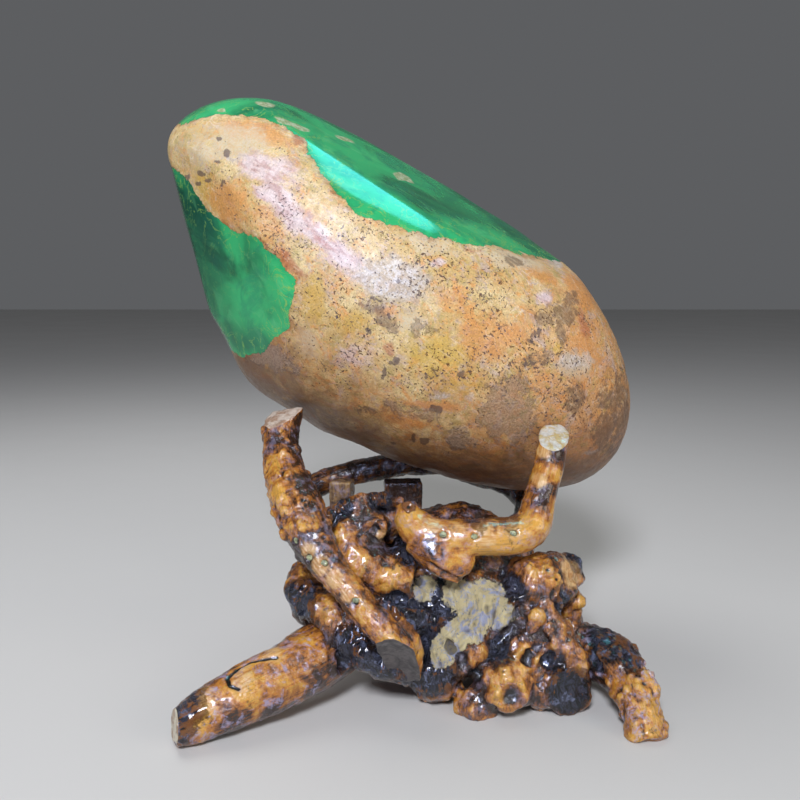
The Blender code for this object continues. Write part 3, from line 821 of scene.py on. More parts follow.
class Skin:
    """A closed mesh that is worked on as arrays."""

    def __init__(self, mesh: bpy.types.Mesh) -> None:
        """Read the mesh's points and edges."""
        self.mesh = mesh
        self.points = np.zeros((len(mesh.vertices), 3))
        mesh.vertices.foreach_get("co", self.points.ravel())
        edges = np.zeros(len(mesh.edges) * 2, dtype=np.int64)
        mesh.edges.foreach_get("vertices", edges)
        self.edges = edges.reshape(-1, 2)

    def normals(self) -> np.ndarray:
        """Write the points back and read the normals."""
        self.mesh.vertices.foreach_set("co", self.points.ravel())
        self.mesh.update()
        found = np.zeros(len(self.points) * 3)
        self.mesh.vertex_normals.foreach_get("vector", found)
        return found.reshape(-1, 3)

    def push(self, height: np.ndarray) -> None:
        """Move the points along their normals by heights in mm."""
        self.points += self.normals() * (height * MM)[:, None]

    def smoothed(self, values: np.ndarray, rounds: int) -> np.ndarray:
        """Average values with their neighbours'.

        Args:
            values: One row for each point.
            rounds: How often.

        Returns:
            The averaged values.
        """
        first, second = self.edges[:, 0], self.edges[:, 1]
        count = len(values)
        links = np.bincount(first, minlength=count) + np.bincount(second, minlength=count)
        out = values.copy()
        for _ in range(rounds):
            total = np.stack([np.bincount(first, out[second, k], count)
                              + np.bincount(second, out[first, k], count)
                              for k in range(out.shape[1])], axis=1)
            out = 0.5 * out + 0.5 * total / np.maximum(links, 1)[:, None]
        return out

    def crevices(self, rounds: int, scale: float) -> np.ndarray:
        """Measure how far each point lies under the smoothed skin, by `scale` mm."""
        hollow = self.smoothed(self.points, rounds) - self.points
        return (hollow * self.normals()).sum(axis=1) / (scale * MM)

    def work(self, forms: Sequence[Work]) -> np.ndarray:
        """Work small forms into the skin.

        Args:
            forms: The forms.

        Returns:
            A mask of the dark middles of pits and eyes; in the pits it is painted shade.
        """
        stain_and_pit_shade = np.zeros(len(self.points))
        for form in forms:
            path = form.path if form.kind is Mark.CUT else self.snapped(form.path)
            share = path_distance(self.points, path) / form.radius
            share = share * (1.0 + 0.25 * swell(self.points, form.radius * 0.9, 2, form.path[0][0]))
            bell = np.clip(1.0 - share * share, 0.0, 1.0) ** 2
            if form.kind is Mark.CUT:
                direction = np.array(Vector(form.direction).normalized())
                over = (self.points - np.array(form.path[0]) * MM) @ direction
                press = (share < 1.0) & (over > 0.0)
                self.points[press] -= over[press, None] * direction
                stain_and_pit_shade = np.maximum(stain_and_pit_shade, form.height * np.clip(1.6 - 2.0 * share, 0.0, 1.0))
            elif form.kind is Mark.EYE:
                ring = np.exp(-((share - 0.62) / 0.2) ** 2) - 0.9 * np.exp(-(share / 0.34) ** 2)
                self.push(form.height * np.where(share < 1.6, ring, 0.0))
                stain_and_pit_shade = np.maximum(stain_and_pit_shade, np.exp(-(share / 0.3) ** 2))
            else:
                sign = 1.0 if form.kind is Mark.KNOB else -1.0
                self.push(sign * form.height * bell)
                # A pit's darkened middle is painted shade.
                if form.kind is Mark.PIT:
                    stain_and_pit_shade = np.maximum(stain_and_pit_shade, bell)
        return stain_and_pit_shade

    def snapped(self, path: Sequence[Colour]) -> list[np.ndarray]:
        """Lay a path of points in mm down on the skin."""
        corners = [np.array(corner, dtype=float) for corner in path]
        places = corners[:1]
        for start, end in zip(corners, corners[1:]):
            count = max(1, round(np.linalg.norm(end - start) / 1.5))
            places += [start + (end - start) * step / count for step in range(1, count + 1)]
        skin = self.points / MM
        return [skin[np.linalg.norm(skin - place, axis=1).argmin()] for place in places]

    def spots(self, marks: Spots) -> np.ndarray:
        """Spread soft round marks of (x, y, z, radius, strength) over the skin."""
        field = np.zeros(len(self.points))
        for x, y, z, radius, strength in marks:
            offset = (self.points / MM - np.array((x, y, z))) * np.array((1.0, 0.5, 1.0))
            share = np.linalg.norm(offset, axis=1) / radius
            field = np.maximum(field, np.clip(1.5 - share, 0.0, 1.0) * strength)
        return field

    def paint(self, paint: Paint, stain_and_pit_shade: np.ndarray) -> None:
        """Keep the spots of a finish on the skin.

        Args:
            paint: The spots.
            stain_and_pit_shade: A mask of what is nearly black.
        """
        self.store("marks", np.stack([self.spots(paint.char), self.spots(paint.cream), stain_and_pit_shade], axis=1))
        self.store("tones", np.stack([self.spots(paint.gold), self.spots(paint.dark), self.spots(paint.pale)],
                                     axis=1))


    def store(self, name: str, values: np.ndarray) -> None:
        """Keep values on the mesh: one column as a number, three as a colour or vector.

        Args:
            name: The attribute's name; "grain" is kept as a vector.
            values: The values.
        """
        kind = "FLOAT" if values.ndim == 1 else "FLOAT_VECTOR" if name == "grain" else "FLOAT_COLOR"
        layer = self.mesh.attributes.new(name, kind, "POINT")
        if kind == "FLOAT":
            layer.data.foreach_set("value", values.astype(np.float32))
        elif kind == "FLOAT_VECTOR":
            layer.data.foreach_set("vector", values.astype(np.float32).ravel())
        else:
            full = np.concatenate([values, np.ones((len(values), 1))], axis=1)
            layer.data.foreach_set("color", full.astype(np.float32).ravel())


def evaluated(obj: bpy.types.Object) -> bpy.types.Mesh:
    """Return a plain mesh of the object with its modifiers applied."""
    depsgraph = bpy.context.evaluated_depsgraph_get()
    return bpy.data.meshes.new_from_object(obj.evaluated_get(depsgraph))


def linked(name: str, data: Any) -> bpy.types.Object:
    """Link an object for its data."""
    obj = bpy.data.objects.new(name, data)
    bpy.context.scene.collection.objects.link(obj)
    return obj


def fused(meshes: Sequence[bpy.types.Mesh], cell: float) -> bpy.types.Mesh:
    """Fuse overlapping closed meshes into one skin.

    Args:
        meshes: The meshes, which are used up.
        cell: The size of the skin's cells in mm.

    Returns:
        The skin.
    """
    bm = bmesh.new()
    for mesh in meshes:
        bm.from_mesh(mesh)
        bpy.data.meshes.remove(mesh)
    joined = bpy.data.meshes.new("joined")
    bm.to_mesh(joined)
    bm.free()
    guide = linked("fusing", joined)
    modifier = guide.modifiers.new("fuse", "REMESH")
    modifier.mode = "VOXEL"
    modifier.voxel_size = cell * MM
    skin = evaluated(guide)
    skin.materials.clear()
    bpy.data.objects.remove(guide, do_unlink=True)
    return skin


def finish_piece(name: str, mesh: bpy.types.Mesh, nodes: Sequence[str]) -> bpy.types.Object:
    """Link a finished mesh as a piece of the model.

    Args:
        name: The piece's name.
        mesh: Its mesh, which has its materials.
        nodes: The CAD nodes it stands for.

    Returns:
        The piece.
    """
    mesh.name = name
    mesh.shade_smooth()
    piece = linked(name, mesh)
    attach(piece, BODY)
    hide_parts(*nodes)
    LOG.info("%s: %d faces", name, len(mesh.polygons))
    return piece


# --------------------------------------------------------------------- the boulder
@dataclass
class Boulder:
    """The jade boulder: an oval lump with windows ground flat through its crust."""

    centre: Colour = (-2.6, 32.0, 163.6)
    half_length: float = 131.0
    cells: int = 124
    above: tuple[float, ...] = (64.0, 63.0, 61.0, 59.5, 61.0, 64.0, 68.5, 69.0, 70.0)
    below: tuple[float, ...] = (43.0, 56.0, 70.0, 77.5, 74.0, 69.0, 66.0, 65.0, 66.0)
    front: tuple[float, ...] = (54.0, 56.0, 58.0, 60.0, 62.0, 62.0, 61.0, 60.0, 58.0)
    back: tuple[float, ...] = (50.0, 52.0, 54.0, 56.0, 57.0, 57.0, 56.0, 54.0, 52.0)
    tilt = math.radians(36.5)

    GROUND = (((0.455, -0.36, 0.83), 9.8, 1.6), ((0.28, -0.67, 0.68), 2.1, 1.3),
              ((-0.68, -0.71, -0.18), 8.0, 1.2), ((-0.95, -0.25, -0.22), 3.0, 1.2))
    LEFT_WINDOW = ((-120, -13), (-106, -13), (-94, -18), (-82, -18), (-72, -16), (-64, -14),
                   (-56, -14), (-48, -15), (-41, -17), (-37, -21), (-34, -29), (-31, -35),
                   (-34, -52), (-43, -64), (-52, -68), (-60, -110), (-170, -110), (-170, -13))
    TOP_WINDOW = ((-125, 6), (-119, 12), (-107, 21), (-103, 25), (-97, 27), (-91, 28), (-85, 31),
                  (-77, 32), (-72, 32), (-69, 28), (-63, 27), (-55, 24), (-47, 21), (-41, 20),
                  (-33, 18), (-29, 21), (-26, 22), (-18, 26), (-12, 26), (-6, 30), (2, 35),
                  (9, 37), (20, 45), (30, 49), (41, 54), (48, 57), (52, 62), (52, 120),
                  (-170, 120), (-170, 2))
    ORANGE = ((-89, 23, 20, 4, 21, 1), (-84, -9, 12, 8, 7, 1), (-64, -6, 9, 6, -2, 0.9),
              (-46, -18, 4, 11, 40, 1), (40, 12, 14, 9, 17, 0.9), (44, 46, 10, 3, 21, 1),
              (65, 51, 10, 7, -11, 1), (-2, -6, 4, 2, 43, 1), (37, -27, 13, 2, 30, 1),
              (33, -39, 11, 5, 22, 0.9), (82, 34, 12, 19, 47, 0.6), (-22, -8, 10, 6, 9, 0.5),
              (16, 14, 9, 6, 17, 0.5))
    OCHRE = ((-95, -12, 10, 5, -18, 1), (-28, -21, 5, 9, 36, 1), (26, -8, 12, 9, 37, 1),
             (67, 26, 3, 3, 36, 0.8), (-11, -18, 8, 5, 38, 0.6), (45, -10, 10, 6, 37, 0.5),
             (-115, 8, 7, 4, 52, 0.5))
    PALE = ((-95, 14, 13, 7, 20, 1), (-105, 2, 5, 4, 30, 1), (9, -4, 7, 4, 37, 0.9),
            (-20, -35, 5, 7, 39, 0.8), (79, 23, 9, 5, 33, 0.9), (-3, 28, 13, 5, 28, 0.8),
            (29, 43, 16, 4, 27, 0.9), (-112, 2, 12, 10, 29, 0.5), (-12, -33, 9, 4, 38, 0.4))
    # Lilac tint along the crest from the head to the middle; it also stands in for the crest's broad glossy highlight,
    # so it is partly a painted highlight.
    LILAC_AND_CREST_HIGHLIGHT = ((-77, 12, 15, 6, 18, 0.9), (-62, 4, 14, 5, -13, 1), (-46, 2, 14, 5, -4, 0.9),
             (-30, 2, 12, 5, -2, 0.9), (4, 23, 3, 2, 38, 0.9), (50, 38, 4, 3, 34, 0.8),
             (-31, -54, 14, 6, 23, 0.6), (0, -27, 9, 6, 39, 0.55), (-72, 3, 6, 3, 13, 1))
    # White patches and streaks; the large first patch, in the middle of the front, is also a painted highlight.
    WHITE_AND_HIGHLIGHT = ((-6, 7, 16, 9, 26, 1), (49, 58, 5, 3, 33, 1), (39, -21, 5, 1, 37, 1), (77, 25, 8, 4, 25, 0.85),
             (113, -2, 5, 1, 39, 1), (-93, 7, 5, 3, 36, 0.6))
    BROWN = ((4, -9, 3, 3, 30, 1), (61, 39, 7, 5, 36, 1), (89, 10, 5, 7, 34, 1),
             (0, -9, 4, 3, 16, 1), (55, 32, 4, 3, 19, 1), (64, 32, 3, 6, 57, 0.9), (-6, -8, 4, 2, 16, 0.8),
             (62, 47, 6, 3, 11, 0.8), (57, -32, 8, 7, 15, 0.5), (17, -46, 5, 3, 37, 0.7),
             (112, 15, 11, 20, 33, 0.8), (-9, -8, 5, 3, 41, 0.7), (31, 43, 4, 2, 28, 0.9),
             (62, 18, 10, 6, 35, 0.4))
    GRIT = ((68, -10, 12, 14, 35, 1), (57, -30, 8, 6, 17, 0.8), (-32, -54, 14, 5, 21, 0.8),
            (34, -34, 13, 4, 21, 0.6), (15, -3, 6, 4, 38, 0.6))
    RED = ((9, -18, 2, 3, 31, 1), (-77, 32, 3, 5, 40, 1), (-45, -13, 2, 8, 72, 1), (73, 41, 3, 6, 60, 0.8),
           (12, 36, 6, 1, 33, 0.7), (-40, 1, 5, 2, 9, 0.6))
    DARK = ((13, -20, 2, 2, 41, 1), (12, -27, 1, 4, 32, 1), (47, -42, 2, 2, 44, 1),
            (42, -44, 1, 2, 29, 1), (40, -27, 2, 2, 19, 1), (29, -17, 1, 2, 45, 0.8),
            (40, -8, 2, 2, 28, 0.8), (55, 25, 3, 1, 56, 1), (60, 11, 2, 1, 50, 1),
            (-99, 2, 2, 1, 37, 0.8), (-97, 8, 2, 2, 33, 0.8), (-94, 0, 1, 1, 33, 0.8),
            (-104, 11, 2, 1, 35, 0.8), (-108, -12, 2, 1, 26, 1), (-102, -7, 2, 1, 26, 1),
            (-101, -11, 2, 1, 24, 1), (-97, -8, 2, 1, 34, 1), (-92, -3, 1, 1, 42, 1),
            (4, 14, 1, 1, 43, 0.8), (-9, -5, 2, 1, 30, 0.8), (-6, 7, 2, 1, 25, 0.8),
            (56, 27, 1, 1, 30, 1), (55, 21, 2, 1, 14, 1), (0, -7, 1, 2, 48, 1), (-2, -16, 1, 2, 90, 1),
            (12, -22, 2, 1, 32, 1), (41, -26, 1, 2, 75, 1), (37, -52, 1, 1, 48, 1), (62, 13, 1, 1, 51, 1))
    INCLUSIONS = ((-100, 35, 4.5, 1.5, 20, 1), (-84, 34, 8, 2, 20, 1), (-63, 45, 5, 1.8, 18, 1),
                  (-31, 46, 5, 1.8, 15, 1), (-113, 20, 3, 1.5, 33, 0.8))
    # Painted shade (first list) and painted light (second list) on the jade windows.
    PAINTED_JADE_SHADE = ((-86, -35, 34, 11, -39, 1), (-102, -22, 12, 12, 0, 1), (-70, -51, 20, 3, -41, 1),
            (-52, -58, 20, 8, 20, 0.9), (10, 56, 60, 6, 22, 0.6))
    PAINTED_JADE_LIGHT = ((-45, -36, 15, 15, 30, 1), (-48, 42, 40, 6, 10, 0.7), (-75, 40, 24, 4, 15, 0.6))
    SPECKLED = ((10, 0, 75, 38, 10, 1), (90, 20, 40, 40, 0, 0.7), (-95, 0, 20, 12, 0, 0.35))

    def __post_init__(self) -> None:
        """Work out how the boulder lies."""
        self.turn = np.array(Matrix.Rotation(self.tilt, 3, "Y"))

    def semi_axis(self, table: Sequence[float], station: np.ndarray) -> np.ndarray:
        """Read a table of semi-axes at stations from -1 to +1, smoothly.

        Args:
            table: The semi-axes in mm.
            station: The stations.

        Returns:
            The semi-axes at the stations.
        """
        values = np.array(table)
        place = (station + 1.0) / 2.0 * (len(values) - 1)
        first = np.minimum(place.astype(int), len(values) - 2)
        part = place - first
        eased = part * part * (3.0 - 2.0 * part)
        return values[first] * (1.0 - eased) + values[first + 1] * eased

    def lump(self) -> bpy.types.Mesh:
        """Build the ground lump where it rests."""
        bm = bmesh.new()
        bmesh.ops.create_cube(bm, size=2.0)
        bmesh.ops.subdivide_edges(bm, edges=bm.edges[:], cuts=self.cells - 1, use_grid_fill=True)
        bmesh.ops.recalc_face_normals(bm, faces=bm.faces[:])
        mesh = bpy.data.meshes.new("jade_boulder")
        bm.to_mesh(mesh)
        bm.free()
        skin = Skin(mesh)
        ball = np.tan(skin.points * math.pi / 4.0)
        ball /= np.linalg.norm(ball, axis=1)[:, None]
        along, depth, height = ball.T
        side = np.where(depth > 0.0, self.semi_axis(self.back, along), self.semi_axis(self.front, along))
        rise = np.where(height > 0.0, self.semi_axis(self.above, along), self.semi_axis(self.below, along))
        own = np.stack([along * self.half_length, depth * side, height * rise], axis=1)
        points = own @ self.turn.T + np.array(self.centre)
        for direction, depth_off, softness in self.GROUND:
            normal = np.array(Vector(direction).normalized())
            over = points @ normal
            over = over - (over.max() - depth_off)
            over = (over + np.sqrt(over * over + softness * softness)) / 2.0
            points = points - over[:, None] * normal
        skin.points = points * MM
        skin.normals()
        return mesh

    def build(self) -> bpy.types.Object:
        """Build the boulder with its windows, crust and marks."""
        mesh = self.lump()
        skin = Skin(mesh)
        own = (skin.points / MM - np.array(self.centre)) @ self.turn
        flat = own[:, [0, 2]]
        warped = flat + 1.6 * np.stack([swell(skin.points, 14.0, 3, 3.0),
                                        swell(skin.points, 14.0, 3, 9.0)], axis=1)
        left = np.minimum(outline_distance(warped, self.LEFT_WINDOW),
                          8.0 + 9.0 * swell(skin.points, 24.0, 4, 7.0) - own[:, 1])
        top = np.minimum(outline_distance(warped, self.TOP_WINDOW),
                         24.0 + 8.0 * swell(skin.points, 30.0, 3, 5.0) - own[:, 1])
        window = np.maximum(left, top)
        crust = np.clip(-window / 2.0, 0.0, 1.0)
        relief = 0.35 * swell(skin.points, 16.0, 3, 1.0) + 0.12 * swell(skin.points, 5.0, 2, 2.0)
        skin.push(crust * (relief + 0.15))
        skin.normals()
        facing = np.clip(0.5 - own[:, 1] / 20.0, 0.0, 1.0)
        mirrored = np.stack([-flat[:, 0] * 0.9 + 10.0, flat[:, 1] + 6.0], axis=1)

        def laid(marks: Sequence[tuple[float, ...]]) -> np.ndarray:
            """Lay marks on the front, and the same kinds turned about on the back."""
            behind = ellipse_field(mirrored, marks) * (1.0 - facing)
            return np.maximum(ellipse_field(warped, marks) * facing, behind)

        # Painted shade: fields of how low each point lies on the boulder and how near the floor it is, which darken the
        # crust there.
        low = np.clip((-own[:, 2] - 10.0) / 50.0, 0.0, 1.0)
        floor_shade = np.clip((0.145 - skin.points[:, 2]) / 0.06, 0.0, 1.0)
        skin.store("window", window)
        jade_inclusions_and_painted_light = [ellipse_field(warped, marks) * facing for marks in (self.INCLUSIONS, self.PAINTED_JADE_SHADE, self.PAINTED_JADE_LIGHT)]
        skin.store("jade_inclusions_and_painted_light", np.stack(jade_inclusions_and_painted_light, axis=1))
        skin.store("specks", laid(self.SPECKLED))
        skin.store("grit", laid(self.GRIT))
        skin.store("warmth", np.clip((own[:, 0] - 20.0) / 60.0, 0.0, 1.0))
        skin.store("tints_a", np.stack([laid(self.ORANGE), laid(self.OCHRE), laid(self.PALE)], axis=1))
        skin.store("tints_and_highlights", np.stack([laid(self.LILAC_AND_CREST_HIGHLIGHT), laid(self.WHITE_AND_HIGHLIGHT), laid(self.BROWN)], axis=1))
        skin.store("tints_and_painted_shade", np.stack([laid(self.RED), laid(self.DARK), np.maximum(low, floor_shade)], axis=1))
        mesh.materials.append(StoneFinish().material())
        return finish_piece("jade_boulder_polished", mesh, ("jade_boulder",))


# ----------------------------------------------------------------- limbs and burl
class NodeTool:
    """A tree of geometry nodes with named inputs, which is applied to data."""

    def __init__(self, name: str, inputs: Sequence[tuple[str, str, Any]]) -> None:
        """Start the tree.

        Args:
            name: Its name.
            inputs: The name, socket type and value of each input.
        """
        self.tree = bpy.data.node_groups.new(name, "GeometryNodeTree")
        face = self.tree.interface
        face.new_socket("Geometry", in_out="INPUT", socket_type="NodeSocketGeometry")
        self.keys: dict[str, str] = {}
        for title, kind, value in (*inputs, ("Finish", "NodeSocketMaterial", None)):
            socket = face.new_socket(title, in_out="INPUT", socket_type=kind)
            if value is not None:
                socket.default_value = value
            self.keys[title] = socket.identifier
        face.new_socket("Geometry", in_out="OUTPUT", socket_type="NodeSocketGeometry")
        self.graph = Graph(self.tree)
        self.given = self.graph.add("NodeGroupInput").outputs

    def close(self, geometry: Socket) -> None:
        """Make the instances real, give them their finish and put them out."""
        real = self.graph.add("GeometryNodeRealizeInstances", None, {"Geometry": geometry})
        dressed = self.graph.add("GeometryNodeSetMaterial", None,
                                 {"Geometry": real.outputs[0], "Material": self.given["Finish"]})
        self.graph.feed(self.graph.add("NodeGroupOutput").inputs[0], dressed.outputs[0])

    def apply(self, data: Any, values: dict[str, Any]) -> bpy.types.Mesh:
        """Apply the tree to a mesh or curve, which is used up.

        Args:
            data: The mesh or curve.
            values: Values for the tree's inputs.

        Returns:
            The plain mesh that comes out.
        """
        guide = linked("guide", data)
        modifier = guide.modifiers.new("nodes", "NODES")
        modifier.node_group = self.tree
        for title, value in values.items():
            modifier[self.keys[title]] = value
        mesh = evaluated(guide)
        bpy.data.objects.remove(guide, do_unlink=True)
        return mesh


class LimbTree(NodeTool):
    """Nodes that sweep a limb along a path."""

    def __init__(self) -> None:
        """Build the tree."""
        super().__init__("Limb along a path", (
            ("Step", "NodeSocketFloat", 0.001), ("Sides", "NodeSocketInt", 40),
            ("Girth", "NodeSocketFloat", 0.002), ("Girth size", "NodeSocketFloat", 14.0)))
        graph, given = self.graph, self.given
        path = graph.add("GeometryNodeResampleCurve", {"mode": "LENGTH"},
                         {"Curve": given["Geometry"], "Length": given["Step"]})
        ring = graph.add("GeometryNodeCurvePrimitiveCircle", None, {"Resolution": given["Sides"], "Radius": 1.0})
        radius = graph.add("GeometryNodeInputRadius").outputs[0]
        swept = graph.add("GeometryNodeCurveToMesh", None,
                          {"Curve": path.outputs[0], "Profile Curve": ring.outputs[0],
                           "Scale": radius, "Fill Caps": True})
        bumps = graph.add("ShaderNodeTexNoise", None,
                          {"Scale": graph.math("DIVIDE", 1000.0, given["Girth size"]), "Detail": 2.0})
        height = graph.math("MULTIPLY", graph.math("SUBTRACT", bumps.outputs["Fac"], 0.5), given["Girth"])
        offset = graph.add("ShaderNodeVectorMath", {"operation": "SCALE"},
                           {0: graph.add("GeometryNodeInputNormal").outputs[0], "Scale": height})
        self.close(graph.add("GeometryNodeSetPosition", None,
                             {"Geometry": swept.outputs[0], "Offset": offset.outputs[0]}).outputs[0])

    def sweep(self, points: Route, girth: float) -> bpy.types.Mesh:
        """Sweep one limb.

        Args:
            points: Its route.
            girth: How uneven its girth is, in mm.

        Returns:
            The limb's plain mesh.
        """
        samples = smooth_route(points, 1.5 * MM)
        curve = bpy.data.curves.new("path", "CURVE")
        curve.dimensions = "3D"
        spline = curve.splines.new("POLY")
        spline.points.add(len(samples) - 1)
        for point, (x, y, z, radius) in zip(spline.points, samples):
            point.co = (x, y, z, 1.0)
            point.radius = radius
        return self.apply(curve, {"Girth": 2.0 * girth * MM})


class WartTree(NodeTool):
    """Nodes that scatter warts over a skin where its attribute "warty" is high."""

    def __init__(self) -> None:
        """Build the tree."""
        super().__init__("Warts on a skin", (
            ("Density", "NodeSocketFloat", 10000.0), ("Size", "NodeSocketFloat", 0.001),
            ("Seed", "NodeSocketInt", 1)))
        graph, given = self.graph, self.given
        warty = graph.add("GeometryNodeInputNamedAttribute", {"data_type": "FLOAT"}, {"Name": "warty"})
        density = graph.math("MULTIPLY", warty.outputs[0], given["Density"])
        points = graph.add("GeometryNodeDistributePointsOnFaces", None,
                           {"Mesh": given["Geometry"], "Density": density, "Seed": given["Seed"]})
        wart = graph.add("GeometryNodeMeshIcoSphere", None, {"Radius": given["Size"], "Subdivisions": 3})
        flat = graph.add("GeometryNodeTransform", None,
                         {"Geometry": wart.outputs["Mesh"], "Scale": (1.0, 1.0, 0.7)})
        size = graph.add("FunctionNodeRandomValue", {"data_type": "FLOAT"},
                         {2: 0.4, 3: 1.3, "Seed": given["Seed"]})
        warts = graph.add("GeometryNodeInstanceOnPoints", None,
                          {"Points": points.outputs["Points"], "Instance": flat.outputs[0],
                           "Rotation": points.outputs["Rotation"], "Scale": size.outputs[1]})
        joined = graph.add("GeometryNodeJoinGeometry")
        graph.feed(joined.inputs[0], warts.outputs[0])
        graph.feed(joined.inputs[0], given["Geometry"])
        self.close(joined.outputs[0])


class NailTree(NodeTool):
    """Nodes that set a small uneven blob of filler at each point, along its normal."""

    def __init__(self) -> None:
        """Build the tree."""
        super().__init__("Filler in nail holes", (("Size", "NodeSocketFloat", 0.002),))
        graph, given = self.graph, self.given
        axis = graph.add("GeometryNodeInputNamedAttribute", {"data_type": "FLOAT_VECTOR"}, {"Name": "axis"})
        turn = graph.add("FunctionNodeAlignRotationToVector", {"axis": "Z"}, {"Vector": axis.outputs[0]})
        ball = graph.add("GeometryNodeMeshIcoSphere", None, {"Radius": given["Size"], "Subdivisions": 4})
        flat = graph.add("GeometryNodeTransform", None,
                         {"Geometry": ball.outputs["Mesh"], "Scale": (1.15, 0.85, 0.5)})
        blobs = graph.add("GeometryNodeInstanceOnPoints", None,
                          {"Points": given["Geometry"], "Instance": flat.outputs[0],
                           "Rotation": turn.outputs[0]})
        real = graph.add("GeometryNodeRealizeInstances", None, {"Geometry": blobs.outputs[0]})
        dents = graph.add("ShaderNodeTexNoise", None, {"Scale": 700.0, "Detail": 2.0})
        height = graph.math("MULTIPLY", graph.math("SUBTRACT", dents.outputs["Fac"], 0.5), 0.0012)
        offset = graph.add("ShaderNodeVectorMath", {"operation": "SCALE"},
                           {0: graph.add("GeometryNodeInputNormal").outputs[0], "Scale": height})
        self.close(graph.add("GeometryNodeSetPosition", None,
                             {"Geometry": real.outputs[0], "Offset": offset.outputs[0]}).outputs[0])


def grain_along(points: np.ndarray, route: Route) -> np.ndarray:
    """Straighten a limb: give each point its place round and along the limb.

    Args:
        points: The points in metres.
        route: The limb's route.

    Returns:
        Across, across and along, in metres.
    """
    samples = smooth_route(route, 1.5 * MM)[:, :3]
    tangents = np.gradient(samples, axis=0)
    steps = np.linalg.norm(tangents, axis=1)
    tangents /= steps[:, None]
    lengths = np.concatenate([[0.0], np.cumsum(np.linalg.norm(np.diff(samples, axis=0), axis=1))])
    across = [Vector((0.3, 0.9, 0.2)).normalized()]
    for tangent in tangents:
        last = across[-1]
        direction = Vector(tangent)
        across.append((last - direction * last.dot(direction)).normalized())
    first = np.array(across[1:])
    second = np.cross(tangents, first)
    nearest = np.empty(len(points), dtype=int)
    for start in range(0, len(points), 20000):
        block = points[start:start + 20000]
        nearest[start:start + 20000] = ((block[:, None, :] - samples[None]) ** 2).sum(axis=2).argmin(axis=1)
    offset = points - samples[nearest]
    along = lengths[nearest] + (offset * tangents[nearest]).sum(axis=1)
    return np.stack([(offset * first[nearest]).sum(axis=1), (offset * second[nearest]).sum(axis=1), along], axis=1)


def saw(mesh: bpy.types.Mesh, cut: Cut) -> None:
    """Saw a mesh off beyond a plane and close it with an uneven face of its own finish."""
    bm = bmesh.new()
    bm.from_mesh(mesh)
    normal = Vector(cut.direction).normalized()
    bmesh.ops.bisect_plane(bm, geom=bm.verts[:] + bm.edges[:] + bm.faces[:], dist=1e-6,
                           plane_co=Vector(cut.point) * MM, plane_no=normal, clear_outer=True)
    rim = {edge for edge in bm.edges if edge.is_boundary}
    while rim:
        edge = rim.pop()
        loop = [edge.verts[0]]
        corner = edge.verts[1]
        while corner is not loop[0]:
            loop.append(corner)
            edge = next(e for e in corner.link_edges if e in rim)
            rim.discard(edge)
            corner = edge.other_vert(corner)
        centre = sum((v.co for v in loop), Vector()) / len(loop)
        last = loop
        for share, rise, deep in ((0.95, 0.3, 0.0), (0.84, 0.4, 0.3), (0.7, 0.45, 0.62), (0.52, 0.5, 0.85),
                                  (0.32, 0.5, 0.97), (0.14, 0.5, 1.0)):
            ring = []
            for vert in loop:
                place = centre + (vert.co - centre) * share
                lift = rise * (1.0 + 0.9 * noise.noise(place / (4.0 * MM)))
                ring.append(bm.verts.new(place + normal * (lift - deep * cut.hollow) * MM))
            for index, vert in enumerate(ring):
                face = bm.faces.new((last[index - 1], last[index], vert, ring[index - 1]))
                face.material_index = cut.slot
            last = ring
        tip = bm.verts.new(centre + normal * (0.5 - cut.hollow) * MM)
        for index, vert in enumerate(last):
            bm.faces.new((last[index - 1], vert, tip)).material_index = cut.slot
    bmesh.ops.recalc_face_normals(bm, faces=bm.faces[:])
    bm.to_mesh(mesh)
    bm.free()


def set_down(mesh: bpy.types.Mesh) -> None:
    """Saw a mesh off flat where it meets the floor."""
    bm = bmesh.new()
    bm.from_mesh(mesh)
    cut = bmesh.ops.bisect_plane(bm, geom=bm.verts[:] + bm.edges[:] + bm.faces[:], dist=1e-6,
                                 plane_co=(0.0, 0.0, 2e-6), plane_no=(0.0, 0.0, -1.0), clear_outer=True)
    rim = [e for e in cut["geom_cut"] if isinstance(e, bmesh.types.BMEdge)]
    bmesh.ops.holes_fill(bm, edges=rim, sides=0)
    bmesh.ops.recalc_face_normals(bm, faces=bm.faces[:])
    bm.to_mesh(mesh)
    bm.free()


@dataclass(frozen=True)
class Cut:
    """A sawn end: a point of its plane, the outward direction, its hollow in mm and its finish."""

    point: Colour
    direction: Colour
    hollow: float = 0.0
    slot: int = 1


